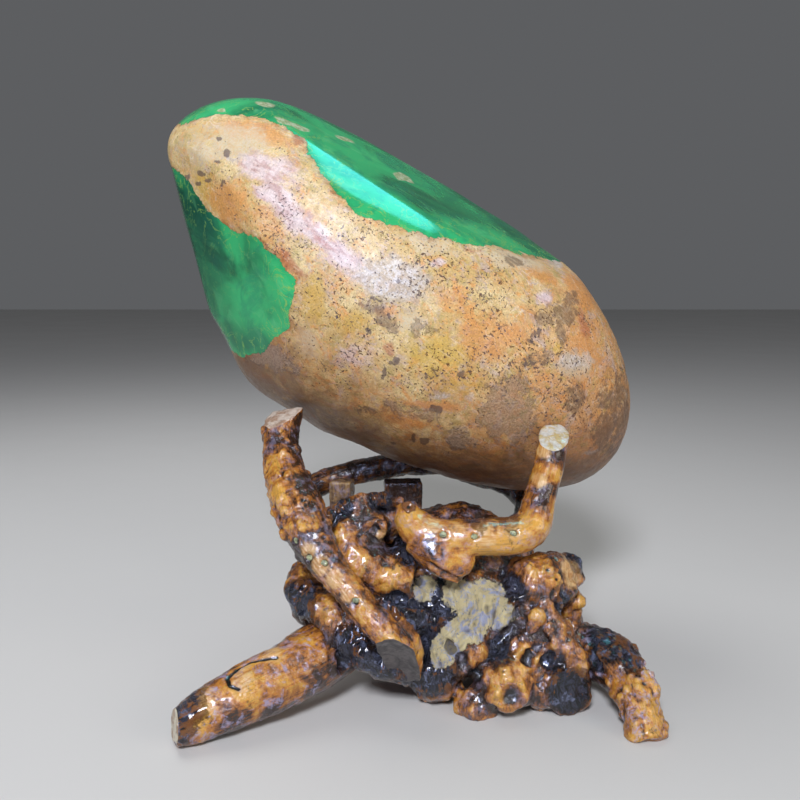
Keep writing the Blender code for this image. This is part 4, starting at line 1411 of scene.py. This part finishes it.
@dataclass
class Limb:
    """A branch or root of the stand."""

    name: str
    route: Route
    node: str
    finish: WoodFinish
    slot: str = "golden_wood"
    cell: float = 0.7
    girth: float = 1.4
    seed: int = 1
    crease: float = 0.5
    swell: float = 0.3
    blend: Spots = ()
    wart_density: float = 0.0
    wart_size: float = 1.2
    warty: Spots = ()
    lobes: tuple[Route, ...] = ()
    forms: tuple[Work, ...] = ()
    nails: tuple[Colour, ...] = ()
    paint: Paint = Paint()
    cuts: tuple[Cut, ...] = ()
    sawn: tuple[SawnFinish, ...] = ()
    rests: bool = False

    def build(self, tools: Tools) -> bpy.types.Object:
        """Build the limb.

        Args:
            tools: The node tools and the stone that it stays clear of.

        Returns:
            The piece.
        """
        meshes = [tools.limbs.sweep(route, self.girth) for route in (self.route, *self.lobes)]
        mesh = fused(meshes, self.cell)
        if self.warty:
            rough = Skin(mesh)
            rough.store("warty", np.clip(rough.spots(self.warty), 0.0, 1.0))
            mesh = tools.warts.apply(mesh, {"Density": self.wart_density * 1e6,
                                            "Size": self.wart_size * MM, "Seed": self.seed})
            mesh = fused([mesh], self.cell)
        skin = Skin(mesh)
        if self.blend:
            share = np.clip(skin.spots(self.blend), 0.0, 1.0)[:, None]
            skin.points += (skin.smoothed(skin.points, 24) - skin.points) * share
        skin.push(self.crease * (0.7 - 2.0 * crease(skin.points, 6.0, self.seed))
                  + self.swell * swell(skin.points, 2.6, 2, self.seed))
        stain_and_pit_shade = skin.work(self.forms)
        stain_and_pit_shade = np.maximum(stain_and_pit_shade, tools.drill(skin, self.nails))
        skin.store("crevice", skin.crevices(14, 0.6))
        skin.paint(self.paint, stain_and_pit_shade)
        skin.store("grain", grain_along(skin.points, self.route))
        skin.normals()
        for finish in (self.finish, *self.sawn):
            mesh.materials.append(finish.material())
        for cut in self.cuts:
            saw(mesh, cut)
        if self.rests:
            set_down(mesh)
        tools.clear(mesh)
        return finish_piece(self.name, mesh, (self.node,))


@dataclass
class Tools:
    """What the pieces of the stand share while they are built."""

    stone: BVHTree
    limbs: LimbTree = field(default_factory=LimbTree)
    warts: WartTree = field(default_factory=WartTree)
    nails: list[tuple[Vector, Vector]] = field(default_factory=list)

    def drill(self, skin: Skin, places: Sequence[Colour]) -> np.ndarray:
        """Sink nail holes into a skin and remember where their filler goes.

        Args:
            skin: The skin.
            places: The holes in mm.

        Returns:
            A mask of the holes' dark edges, which are painted shade.
        """
        normals = skin.normals()
        for place in places:
            nearest = int(np.linalg.norm(skin.points / MM - np.array(place), axis=1).argmin())
            self.nails.append((Vector(skin.points[nearest]), Vector(normals[nearest])))
        holes = [tuple(point / MM) for point, _ in self.nails[len(self.nails) - len(places):]]
        return skin.work([Work(Mark.PIT, (hole,), 2.6, 1.3) for hole in holes])

    def clear(self, mesh: bpy.types.Mesh) -> None:
        """Press the points of a mesh that lie inside the stone out onto its surface."""
        skin = Skin(mesh)
        boulder = Boulder()
        own = (skin.points / MM - np.array(boulder.centre)) @ boulder.turn
        near = (own / np.array((132.0, 60.0, 78.0))) ** 2
        for index in np.flatnonzero(near.sum(axis=1) < 1.0):
            point = Vector(skin.points[index])
            found, normal, _, _ = self.stone.find_nearest(point)
            if (point - found).dot(normal) < 0.0:
                skin.points[index] = found + normal * 0.1 * MM
        skin.normals()


@dataclass
class Burl:
    """The knotted burl: lumps and strands grown into one skin."""

    cell: float = 0.85
    lumps: tuple[tuple[float, ...], ...] = (
        (14, 6, 34, 46, 36, 25), (26, 34, 40, 32, 20, 20), (-14, 30, 44, 22, 20, 15),
        (-26, -20, 67, 11, 12, 9), (-8, -20, 68, 11, 12, 10), (10, -20, 50, 18, 20, 17),
        (34, -20, 46, 18, 20, 17), (7, -36, 31, 17, 16, 15), (31, -36, 29, 20, 19, 19),
        (13, -50, 13, 12, 13, 12), (25, -55, 27, 6, 6, 6), (55, -40, 49, 12, 13, 10),
        (71, -26, 46, 8, 11, 8), (55, -44, 34, 10, 10, 9), (54, -55, 37, 4, 4, 4),
        (57, -45, 20, 12, 13, 13), (41, -58, 12, 13, 13, 12), (66, -56, 9, 11, 12, 11),
        (-42, -34, 46, 8, 9, 7), (-39, -40, 37, 9, 9, 8), (-16, -12, 52, 16, 18, 14),
        (30, -60, 3, 9, 8, 8), (28, -34, 40, 18, 17, 14), (70, -27, 33, 8, 11, 12),
        (-35, 31, 41, 14, 13, 12), (52, 30, 40, 14, 14, 13), (-1, -42, 57, 7, 5.5, 6.5),
        (46, -42, 36, 14, 13, 14), (52, -48, 20, 14, 13, 12), (22, -50, 24, 16, 13, 14),
        (-2, -46, 36, 14, 11, 13), (66, -36, 44, 8, 9, 9), (65, -35, 50, 8, 9, 8.5), (58, -56, 11, 11, 11, 11),
        (-15, -38, 61, 9, 8, 8), (48, -50, 24, 10, 11, 10))
    strands: tuple[Route, ...] = (
        ((-10, -38, 69, 6.5), (-20, -34, 72, 8.0), (-24, -39, 64, 9.4), (-18, -44, 57.5, 9.6),
         (-9, -46, 53, 8.8), (3.5, -47, 50, 7.8)),
        ((-44, -36, 47, 6.5), (-40, -43, 40, 7.6), (-30, -49, 36, 8.6), (-18, -54, 28, 9.4),
         (-6, -58, 20, 7.6), (4, -56, 14, 6.0)),
        ((77, -24, 35, 3.6), (73, -31, 26, 5.6), (75, -38, 18, 7.4), (79, -50, 14, 4.0)),
        ((57, -43, 44, 8.0), (59, -51, 34, 7.0), (63, -53, 23, 7.4), (72, -47, 14, 7.6)),
        ((-31, -40, 64, 2.4), (-31.5, -39, 72, 2.8), (-27, -37, 78, 2.8), (-20, -34, 80.5, 3.0),
         (-10, -30, 80, 3.0), (0, -28, 78, 2.4)),
        ((-12, -34, 72, 5.4), (-12, -44, 71, 4.9)),
        ((64, -54, 27, 4.8), (69, -59, 22, 3.6), (73, -60.5, 17, 2.2)))
    forms: tuple[Work, ...] = (
        Work(Mark.EYE, ((-12, -45, 71),), 4.6, 0.8), Work(Mark.PIT, ((-3.5, -38, 69), (-4, -38, 65)), 3.2, 3.4),
        Work(Mark.GROOVE, ((-4, -54, 46), (2, -52, 43), (9, -49, 41)), 4.0, 3.0),
        Work(Mark.CUT, ((-43, -46.5, 43),), 7.0, 0.0, (-0.25, -0.95, 0.1)),
        Work(Mark.GROOVE, ((-38, -48, 33), (-28, -55, 29)), 3.6, 2.0),
        Work(Mark.EYE, ((50, -46, 57),), 3.2, 0.9), Work(Mark.EYE, ((59, -50, 57),), 3.2, 0.9),
        Work(Mark.EYE, ((63, -51, 53),), 3.0, 0.9), Work(Mark.KNOB, ((75, -36, 37),), 4.5, 3.0),
        Work(Mark.KNOB, ((54, -57, 40),), 5.0, 2.6), Work(Mark.KNOB, ((51, -57, 34),), 4.0, 2.0),
        Work(Mark.KNOB, ((58, -56, 35),), 3.6, 1.6), Work(Mark.EYE, ((48, -55, 23),), 7.0, 1.4),
        Work(Mark.KNOB, ((29, -58, 25),), 6.0, 2.0), Work(Mark.PIT, ((29, -58, 16),), 4.6, 3.0),
        Work(Mark.KNOB, ((68, -52, 34), (66, -57, 26), (68, -60, 18)), 3.4, 1.6),

        Work(Mark.KNOB, ((30, -52, 38), (26, -56, 32), (22, -58, 26)), 3.6, 1.6),
        Work(Mark.GROOVE, ((30, -54, 46), (31, -56, 38), (26, -58, 33)), 2.2, 1.6),
        Work(Mark.GROOVE, ((16, -52, 42), (24, -56, 38)), 2.0, 1.4),
        Work(Mark.CUT, ((42, -69.5, 11),), 6.5, 0.8, (0.0, -0.95, 0.3)),
        Work(Mark.EYE, ((42, -71, 12),), 9.0, 1.2),
        Work(Mark.CUT, ((65, -63, 12),), 15.0, 0.0, (0.25, -0.96, 0.1)),
        Work(Mark.CUT, ((72, -39, 50),), 9.0, 0.0, (0.5, -0.8, 0.3)),
        Work(Mark.GROOVE, ((39, -57, 29), (44, -55, 33), (47, -53, 41)), 4.0, 3.0),
        Work(Mark.GROOVE, ((64, -52, 45), (66, -50, 38)), 3.6, 2.6),
        Work(Mark.GROOVE, ((50, -62, 24), (56, -60, 30)), 3.4, 2.6),
        Work(Mark.GROOVE, ((58, -62, 24), (54, -66, 14)), 3.4, 2.4),
        Work(Mark.GROOVE, ((22, -60, 20), (20, -57, 28)), 3.6, 2.6),
        Work(Mark.GROOVE, ((60, -50, 46), (66, -46, 53)), 3.2, 1.8))
    paint: Paint = Paint(
        char=((-26, -37, 79, 5, 1), (-10, -28, 80, 6, 1), (-31, -38, 74, 4, 1), (2, -38, 61, 6.5, 1.1),
              (1, -48, 40, 10, 1.2), (0, -50, 31, 10, 1.1), (9, -55, 24, 11, 1.1), (46, -45, 47, 6, 1),
              (13, -62, 15, 9, 0.9), (-43, -47, 42, 7, 1.3), (-21, -62, 27, 9, 1), (-9, -65, 22, 8, 1),
              (76, -30, 54, 6, 0.9), (60, -60, 22, 5, 0.8), (66, -63, 10, 9, 1), (39, -56, 24, 6, 0.8),
              (17, -45, 40, 8, 1), (66, -46, 40, 5, 0.8), (4, -60, 12, 8, 0.8)),
        cream=((9, -46, 46, 5, 1.2), (23, -52, 45, 7, 1.2), (34, -53, 44, 7.5, 1.2), (39, -54, 38, 6, 1.2),
               (28, -57, 37, 7, 1.3), (16, -60, 26, 4.5, 1.4), (20, -60, 31, 5, 1.4), (14, -60, 22, 3, 1.2)),
        gold=((-27, -46, 68, 7, 1), (-18, -48, 60, 8, 1.2), (-6, -54, 54, 7, 1.2), (5, -50, 48, 6, 1.2),
              (54, -49, 56, 8, 0.8), (62, -50, 54, 7, 0.8), (54, -58, 39, 6, 1.1), (-44, -40, 50, 7, 0.7),
              (48, -60, 24, 8, 1.3), (40, -70, 18, 9, 1.1), (31, -62, 22, 5, 0.8), (-32, -56, 41, 6, 1),
              (21, -64, 4, 8, 0.9), (72, -60, 19, 5, 1.2), (76, -37, 37, 4, 1.2), (62, -55, 30, 8, 0.8)),
        dark=((-10, -40, 62, 6, 1), (-36, -46, 32, 8, 1), (50, -55, 30, 8, 0.8), (30, -58, 16, 7, 1)),
        pale=((-8, -45, 69, 3, 1.2), (72, -38, 50, 5, 1.1), (69, -38, 54, 4, 0.9)))

    def build(self, tools: Tools) -> bpy.types.Object:
        """Build the burl.

        Args:
            tools: The node tools and the stone that it stays clear of.

        Returns:
            The piece.
        """
        bm = bmesh.new()
        for lump in self.lumps:
            place = Matrix.Translation(Vector(lump[:3]) * MM)
            size = Matrix.Diagonal((*(Vector(lump[3:]) * MM), 1.0))
            bmesh.ops.create_icosphere(bm, subdivisions=4, radius=1.0, matrix=place @ size)
        lumps = bpy.data.meshes.new("lumps")
        bm.to_mesh(lumps)
        bm.free()
        skin = Skin(fused([lumps] + [tools.limbs.sweep(strand, 0.5) for strand in self.strands], self.cell))
        skin.push(1.6 * swell(skin.points, 11.0, 3))
        skin.normals()
        gold = np.clip(skin.spots(self.paint.gold), 0.0, 1.0)
        char = np.clip(np.maximum(skin.spots(self.paint.char), skin.spots(self.paint.cream)), 0.0, 1.0)
        skin.store("warty", np.clip(0.25 + gold - char, 0.0, 1.0))
        mesh = tools.warts.apply(skin.mesh, {"Density": 0.013 * 1e6, "Size": 1.7 * MM, "Seed": 3})
        skin = Skin(fused([mesh], self.cell))
        char = np.clip(np.maximum(skin.spots(self.paint.char), skin.spots(self.paint.cream)), 0.0, 1.0)
        flow = skin.points * np.array((1.0, 1.0, 0.35))
        skin.push(1.0 * (crease(skin.points, 8.0, 4.0) - 0.25) + 0.4 * swell(skin.points, 3.2, 2, 2.0)
                  + (0.5 + char) * (0.2 - crease(flow, 3.0, 7.0))
                  + np.clip(skin.spots(((66, -56, 28, 12, 1.2), (14, -60, 30, 10, 0.9), (-20, -60, 30, 10, 0.7))), 0.0, 1.0)
                  * (0.8 - 3.0 * crease(skin.points * np.array((1.0, 1.0, 0.2)), 6.0, 2.0)))
        stain_and_pit_shade = skin.work(self.forms)
        skin.store("crevice", skin.crevices(36, 1.5))
        skin.paint(self.paint, stain_and_pit_shade)
        curl = np.stack([swell(skin.points, 22.0, 2, s) for s in (1.0, 5.0, 8.0)], axis=1)
        skin.store("grain", skin.points + 0.006 * curl)
        skin.normals()
        skin.mesh.materials.append(WoodFinish("burl_wood", balance=-0.06, blotches=0.8, relief=0.6,
                                              fibre=1.4, painted_sheen=0.25, coat=0.6).material())
        set_down(skin.mesh)
        tools.clear(skin.mesh)
        return finish_piece("gnarled_burl", skin.mesh, ("burl",))


# ----------------------------------------------------------------- small pieces
@dataclass
class PackingBlock:
    """A sawn packing block under the rail."""

    name: str
    node: str
    slot: str
    centre: Colour
    size: Colour
    turn: float
    finish: WoodFinish

    def build(self) -> bpy.types.Object:
        """Build the block with worn edges and a little unevenness."""
        bm = bmesh.new()
        scale = Matrix.Diagonal((*(Vector(self.size) * MM), 1.0))
        place = Matrix.Translation(Vector(self.centre) * MM) @ Matrix.Rotation(math.radians(self.turn), 4, "Z")
        bmesh.ops.create_cube(bm, size=1.0, matrix=place @ scale)
        bmesh.ops.bevel(bm, geom=bm.edges[:], offset=0.7 * MM, segments=3, profile=0.6, affect="EDGES")
        mesh = bpy.data.meshes.new(self.name)
        bm.to_mesh(mesh)
        bm.free()
        skin = Skin(fused([mesh], 0.7))
        skin.push(0.35 * swell(skin.points, 5.0, 3, 2.0))
        skin.store("crevice", skin.crevices(10, 0.8))
        skin.paint(Paint(), np.zeros(len(skin.points)))
        skin.store("grain", skin.points)
        skin.normals()
        skin.mesh.materials.append(self.finish.material())
        return finish_piece(self.name, skin.mesh, (self.node,))


@dataclass
class NailFillers:
    """The hardened filler in the nail holes of the prongs."""

    nodes: tuple[str, ...]

    def build(self, tools: Tools) -> bpy.types.Object:
        """Set the blobs of filler where the holes are.

        Args:
            tools: The tools, which remember the holes.

        Returns:
            The piece.
        """
        mesh = bpy.data.meshes.new("holes")
        mesh.from_pydata([point - normal * 1.0 * MM for point, normal in tools.nails], [], [])
        layer = mesh.attributes.new("axis", "FLOAT_VECTOR", "POINT")
        for item, (_, normal) in zip(layer.data, tools.nails):
            item.vector = normal
        blobs = NailTree().apply(mesh, {"Size": 1.35 * MM, "Finish": FillerFinish().material()})
        return finish_piece("nail_fillers", blobs, self.nodes)


@dataclass
class Studio:
    """The floor, the lights and the camera."""

    def build(self) -> None:
        """Build the floor, the lights and the camera."""
        mesh = bpy.data.meshes.new("floor")
        half = 4.0
        mesh.from_pydata([(-half, -half, 0), (half, -half, 0), (half, half, 0), (-half, half, 0)], [], [(0, 1, 2, 3)])
        mesh.materials.append(FloorFinish().material())
        linked("floor", mesh)
        self.light("key", (-0.22, -1.18, 1.08), (0.0, 0.0, 0.14), (0.34, 0.34), 25.0, (0.88, 0.91, 1.0))
        lens = self.light("lens", (0.20, 0.135, 0.80), (0.20, 0.135, 0.0), (0.20, 0.36), 1.8, (0.12, 0.9, 1.0))
        lens.visible_diffuse = False
        sheen = self.light("sheen", (-0.25, -0.78, 0.42), (0.0, 0.0, 0.08), (0.25, 0.25), 5.0, (0.5, 0.6, 1.0))
        sheen.visible_diffuse = False
        top = self.light("top", (-0.30, 0.30, 0.80), (0.0, 0.0, 0.15), (0.5, 0.5), 3.0, (0.95, 0.97, 1.0))
        top.visible_glossy = False
        self.light("fill", (0.65, -0.50, 0.35), (0.0, 0.0, 0.10), (0.35, 0.35), 1.4, (1.0, 0.93, 0.85))
        world = bpy.data.worlds.new("studio")
        world.use_nodes = True
        world.node_tree.nodes["Background"].inputs[0].default_value = (0.78, 0.8, 0.84, 1.0)
        world.node_tree.nodes["Background"].inputs[1].default_value = 0.14
        bpy.context.scene.world = world
        bpy.context.scene.view_settings.view_transform = "Standard"
        camera = bpy.data.cameras.new("camera")
        camera.sensor_width = 36.0
        camera.lens = 38.25
        viewer = linked("camera", camera)
        viewer.location = (-0.0015, -0.3825, 0.175)
        viewer.rotation_euler = (math.radians(90.0 - 8.366), 0.0, 0.0)
        bpy.context.scene.camera = viewer

    @staticmethod
    def light(name: str, place: Colour, aim: Colour, size: tuple[float, float], power: float,
              colour: Colour) -> bpy.types.Object:
        """Hang a soft rectangular light.

        Args:
            name: The light's name.
            place: Where it hangs.
            aim: What it points at.
            size: Its width and height.
            power: Its power in watts.
            colour: Its colour.

        Returns:
            The light.
        """
        data = bpy.data.lights.new(name, "AREA")
        data.shape = "RECTANGLE"
        data.size, data.size_y = size
        data.energy = power
        data.color = colour
        lamp = linked(name, data)
        lamp.location = place
        lamp.rotation_euler = (Vector(aim) - Vector(place)).to_track_quat("-Z", "Y").to_euler()
        return lamp


LIMBS = (
    Limb("left_prong_wood", ((-1, -68, 13, 5.8), (-1.5, -69, 21, 6.6), (-2.5, -69, 30, 7.0), (-8, -67, 38, 6.4),
                             (-16, -64, 45.5, 5.8),
                             (-24, -59, 54, 6.2), (-33, -53, 63, 7.4), (-40, -45, 73, 9.9),
                             (-46, -35, 82, 10.3), (-51, -25, 91, 8.8), (-54, -14, 101, 7.8),
                             (-53.5, -3, 116, 8.0)),
         "left_prong", WoodFinish("left_prong_wood", balance=-0.02, blotches=0.9, relief=0.45), cell=0.62,
         girth=1.2, seed=4, crease=0.35, swell=0.35, wart_density=0.022, wart_size=2.0,
         warty=((-40, -45, 73, 12, 1), (-46, -35, 82, 14, 1), (-51, -25, 91, 12, 1), (-54, -14, 101, 9, 0.8)),
         forms=(Work(Mark.PIT, ((-41, -48, 85),), 3.2, 2.2), Work(Mark.KNOB, ((-50, -45, 84),), 5.0, 1.4),
                Work(Mark.KNOB, ((3, -74, 33), (-3, -75, 36)), 5.5, 1.2)),
         nails=((-44, -55, 70), (-38, -59, 64), (-31, -61, 63), (-19, -68, 50)),
         paint=Paint(gold=((-52, -42, 84, 9, 1.1), (-44, -52, 78, 8, 0.8), (-57, -28, 96, 7, 0.9),
                           (-16, -70, 46, 5, 1.2), (-22, -66, 54, 5, 1), (-8, -74, 38, 5, 0.9), (4, -73, 28, 6, 1.2)),
                     dark=((-36, -50, 66, 9, 1.5), (-44, -18, 103, 6, 1.1), (-56, -22, 104, 4, 0.8), (-42, -40, 86, 6, 1),
                           (-28, -52, 62, 7, 0.8), (-22, -63, 48, 4, 0.8)),
                     pale=((-38, -58, 67, 3.4, 0.8), (-33, -61, 62, 3.6, 1), (-27, -64, 57, 3.6, 1),
                           (-22, -67, 52.5, 3.4, 0.9))),
         lobes=(((-4, -65, 39, 5.0), (2, -66, 33, 4.6), (3, -65, 25, 4.6), (2, -63, 16, 4.4)),),
         sawn=(SawnFinish("left_prong_top_cut", tone(216, 200, 184), tone(164, 132, 108)),
               SawnFinish("left_prong_low_cut", tone(74, 66, 64), tone(34, 26, 24), 0.9)),
         cuts=(Cut((-53.5, -6, 113), (-0.28, -0.24, 0.93)),
               Cut((-2.5, -70.5, 29), (-0.14, -0.86, -0.49), 1.6, 2))),
    Limb("right_prong_wood", ((1, -37, 80, 4.2), (3, -41, 74, 7.0), (10, -45, 69, 8.2), (21, -47, 68.5, 7.4),
                              (35, -47, 69, 7.4), (46, -45, 69, 7.4), (53.5, -42, 72, 7.4), (57, -36, 82, 6.6),
                              (62, -28, 95, 6.5), (65.5, -20, 108, 6.3), (67.5, -14, 118, 6.2)),
         "right_prong", WoodFinish("right_prong_wood", balance=0.07, blotches=0.35, coat=0.6, relief=0.25),
         cell=0.62, girth=0.7, seed=2, crease=0.2, swell=0.12,
         blend=((14, -48, 63, 14, 1), (24, -50, 60, 9, 1)),
         lobes=(((6, -44, 68, 7.6), (15, -50, 60.5, 6.8), (24, -53, 54.5, 3.8)),
                ((12, -47, 66, 7.6), (21, -50, 61, 6.6), (28, -51.5, 57.5, 3.6)),
                ((20, -47, 66, 7.4), (27, -49.5, 62, 5.2))),
         forms=(Work(Mark.EYE, ((2, -43, 81),), 3.4, 0.6),
                Work(Mark.GROOVE, ((11, -56, 60), (18, -57, 55.5), (23, -56, 53.5)), 2.4, 1.2),
                Work(Mark.KNOB, ((8, -53, 68), (16, -55, 61)), 4.0, 0.8),
                Work(Mark.KNOB, ((22, -42, 74.5), (36, -42, 75), (47, -41, 75)), 3.6, 1.0)),
         nails=((16, -53, 72), (28, -53, 71), (44, -51, 72)),
         paint=Paint(gold=((34, -54, 67, 9, 1.1), (48, -51, 68, 9, 1.1), (57, -48, 73, 7, 1), (3, -47, 74, 5, 1.1),
                           (22, -54, 67, 7, 0.9), (64, -34, 94, 4, 0.8), (62, -42, 80, 4, 1)),
                     dark=((12, -55, 61, 7, 1), (21, -57, 55, 6, 1.2), (8, -50, 71, 5, 0.8), (60, -42, 86, 6, 1),
                           (64, -34, 99, 5, 1), (56, -38, 80, 5, 1.2), (58, -46, 74, 4, 0.8)),
                     char=((2, -42, 82, 3, 1), (30, -41, 75, 6, 0.9), (42, -41, 75.5, 6, 0.7)),
                     pale=((12, -52, 75, 4, 0.6), (22, -53, 73, 4, 0.7), (33, -53, 72, 5, 0.7),
                           (44, -51, 73, 4, 0.6), (57, -36, 90, 3, 1), (60, -28, 100, 3, 1))),
         sawn=(SawnFinish("right_prong_cut", tone(206, 204, 196), tone(190, 166, 112)),),
         cuts=(Cut((65.5, -21, 106), (0.05, -0.40, 0.916)),)),
    Limb("rear_rail_wood", ((-34, 30, 40, 6.8), (-46, 37, 47, 6.4), (-54, 44, 57, 6.0), (-46, 48, 66.5, 6.2),
                            (-25, 52, 73, 6.4), (-2, 55, 76, 5.9), (18, 56, 76.5, 5.6), (40, 56, 71, 6.3),
                            (57, 52, 65.5, 6.2), (64, 43, 58, 6.0), (60, 33, 51.5, 6.4), (51, 26, 47, 6.6)),
         "rear_rail", WoodFinish("rear_rail_wood", balance=-0.12, blotches=1.0), slot="dark_wood", cell=0.95),
    Limb("left_leg_wood", ((-10, -30, 25, 12.0), (-24, -40, 21.5, 12.4), (-35, -50, 19.5, 13.2),
                           (-46, -60, 16.5, 12.6), (-62, -70, 12.5, 11.4), (-76, -79, 9.0, 9.6),
                           (-87, -86, 6.5, 6.4)),
         "left_leg", WoodFinish("left_leg_wood", balance=-0.01, blotches=0.5, coat=0.5, painted_sheen=0.7), cell=0.75,
         girth=1.0, seed=6, crease=0.3, swell=0.15, rests=True,
         forms=(Work(Mark.PIT, ((-50, -68, 27), (-60, -68, 25.5), (-65, -71, 23.5), (-67.5, -75, 21.5),
                                (-66.5, -78, 19.5), (-63, -79, 19)), 1.5, 1.2),
                Work(Mark.GROOVE, ((-25, -58, 24), (-22, -60, 18)), 4.0, 2.6),
                Work(Mark.KNOB, ((-40, -62, 28),), 7.0, 1.2), Work(Mark.KNOB, ((-60, -80, 15),), 8.0, 0.8)),
         paint=Paint(gold=((-40, -62, 27, 9, 0.8), (-58, -76, 20, 10, 1), (-72, -86, 12, 8, 1), (-46, -66, 22, 8, 0.8)),
                     dark=((-32, -58, 16, 8, 1.1), (-50, -70, 12, 6, 0.9), (-66, -82, 6, 7, 0.7)),
                     char=((-86, -88, 9, 8, 0.9), (-80, -84, 16, 6, 0.8), (-20, -58, 20, 7, 0.9)),
                     pale=((-62, -76, 22, 4, 0.7), (-52, -66, 28, 4, 0.7), (-74, -82, 17, 4, 0.6))),
         sawn=(SawnFinish("left_leg_cut"),), cuts=(Cut((-86, -85, 6.5), (-0.9, -0.4, 0.1)),)),
    Limb("right_leg_wood", ((66, -22, 17, 10.0), (78, -34, 16, 10.0), (87, -48, 15.5, 10.6), (91, -61, 12.5, 8.6),
                            (92.5, -72, 6.5, 7.8), (93.5, -79, -2, 8.4)),
         "right_leg", WoodFinish("right_leg_wood", blotches=0.8, relief=0.6, painted_sheen=0.75), cell=0.7, girth=2.0,
         seed=5, crease=0.5, swell=0.4, rests=True, wart_density=0.03, wart_size=1.7,
         warty=((91, -66, 12, 13, 1), (93, -78, 2, 12, 1), (84, -50, 22, 8, 0.5)),
         forms=(Work(Mark.KNOB, ((97, -66, 19), (99, -69, 15)), 4.6, 2.4),
                Work(Mark.GROOVE, ((96, -62, 23), (100, -62, 18)), 3.0, 1.8),
                Work(Mark.GROOVE, ((79, -46, 24), (82, -56, 16)), 3.0, 1.8)),
         paint=Paint(gold=((94, -78, 9, 9, 1.2), (98, -70, 17, 5, 1.2), (86, -66, 12, 6, 0.8), (92, -72, 16, 6, 0.8)),
                     dark=((79, -44, 12, 7, 1), (84, -60, 8, 6, 0.8), (80, -40, 26, 5, 0.6)),
                     char=((84, -48, 25, 8, 0.8), (91, -58, 22, 6, 0.7), (80, -52, 18, 5, 0.7)))),
    Limb("rear_left_leg_wood", ((-4, 26, 28, 12.0), (-20, 40, 26, 11.5), (-36, 56, 20, 10.5), (-46, 70, 12, 9.5),
                                (-52, 80, 5, 9.0), (-55, 84, -3, 8.6)),
         "rear_left_leg", WoodFinish("rear_left_leg_wood", balance=-0.03), cell=1.0, girth=1.8, seed=7, rests=True),
    Limb("rear_right_leg_wood", ((40, 24, 28, 12.0), (52, 42, 26, 11.0), (61, 60, 20, 9.8), (66, 73, 11, 9.2),
                                 (69, 80, 3, 9.0), (70, 83, -4, 8.6)),
         "rear_right_leg", WoodFinish("rear_right_leg_wood", balance=-0.03), cell=1.0, girth=1.8, seed=8, rests=True),
)
BLOCKS = (
    PackingBlock("square_block_wood", "square_block", "dark_wood", (0, 42, 63), (19, 11, 16), 4.0,
                 WoodFinish("square_block_wood", balance=-0.16, blotches=1.0, coat=0.1)),
    PackingBlock("wedge_block_wood", "wedge_block", "pale_wood", (-31, 38, 65), (11, 10, 14), -12.0,
                 WoodFinish("wedge_block_wood", honey=tone(184, 152, 104), light=tone(150, 116, 76),
                            middle=tone(110, 82, 54), balance=-0.02, coat=0.1)),
)


def main() -> None:
    """Build every piece of the boulder and its stand."""
    logging.basicConfig(level=logging.INFO, format="%(message)s")
    Studio().build()
    boulder = Boulder().build()
    bm = bmesh.new()
    bm.from_mesh(boulder.data)
    stone = BVHTree.FromBMesh(bm)
    bm.free()
    tools = Tools(stone)
    for limb in LIMBS:
        limb.build(tools)
    Burl().build(tools)
    for block in BLOCKS:
        block.build()
    NailFillers(tuple(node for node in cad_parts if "plug" in node)).build(tools)


if __name__ == "__main__":
    main()
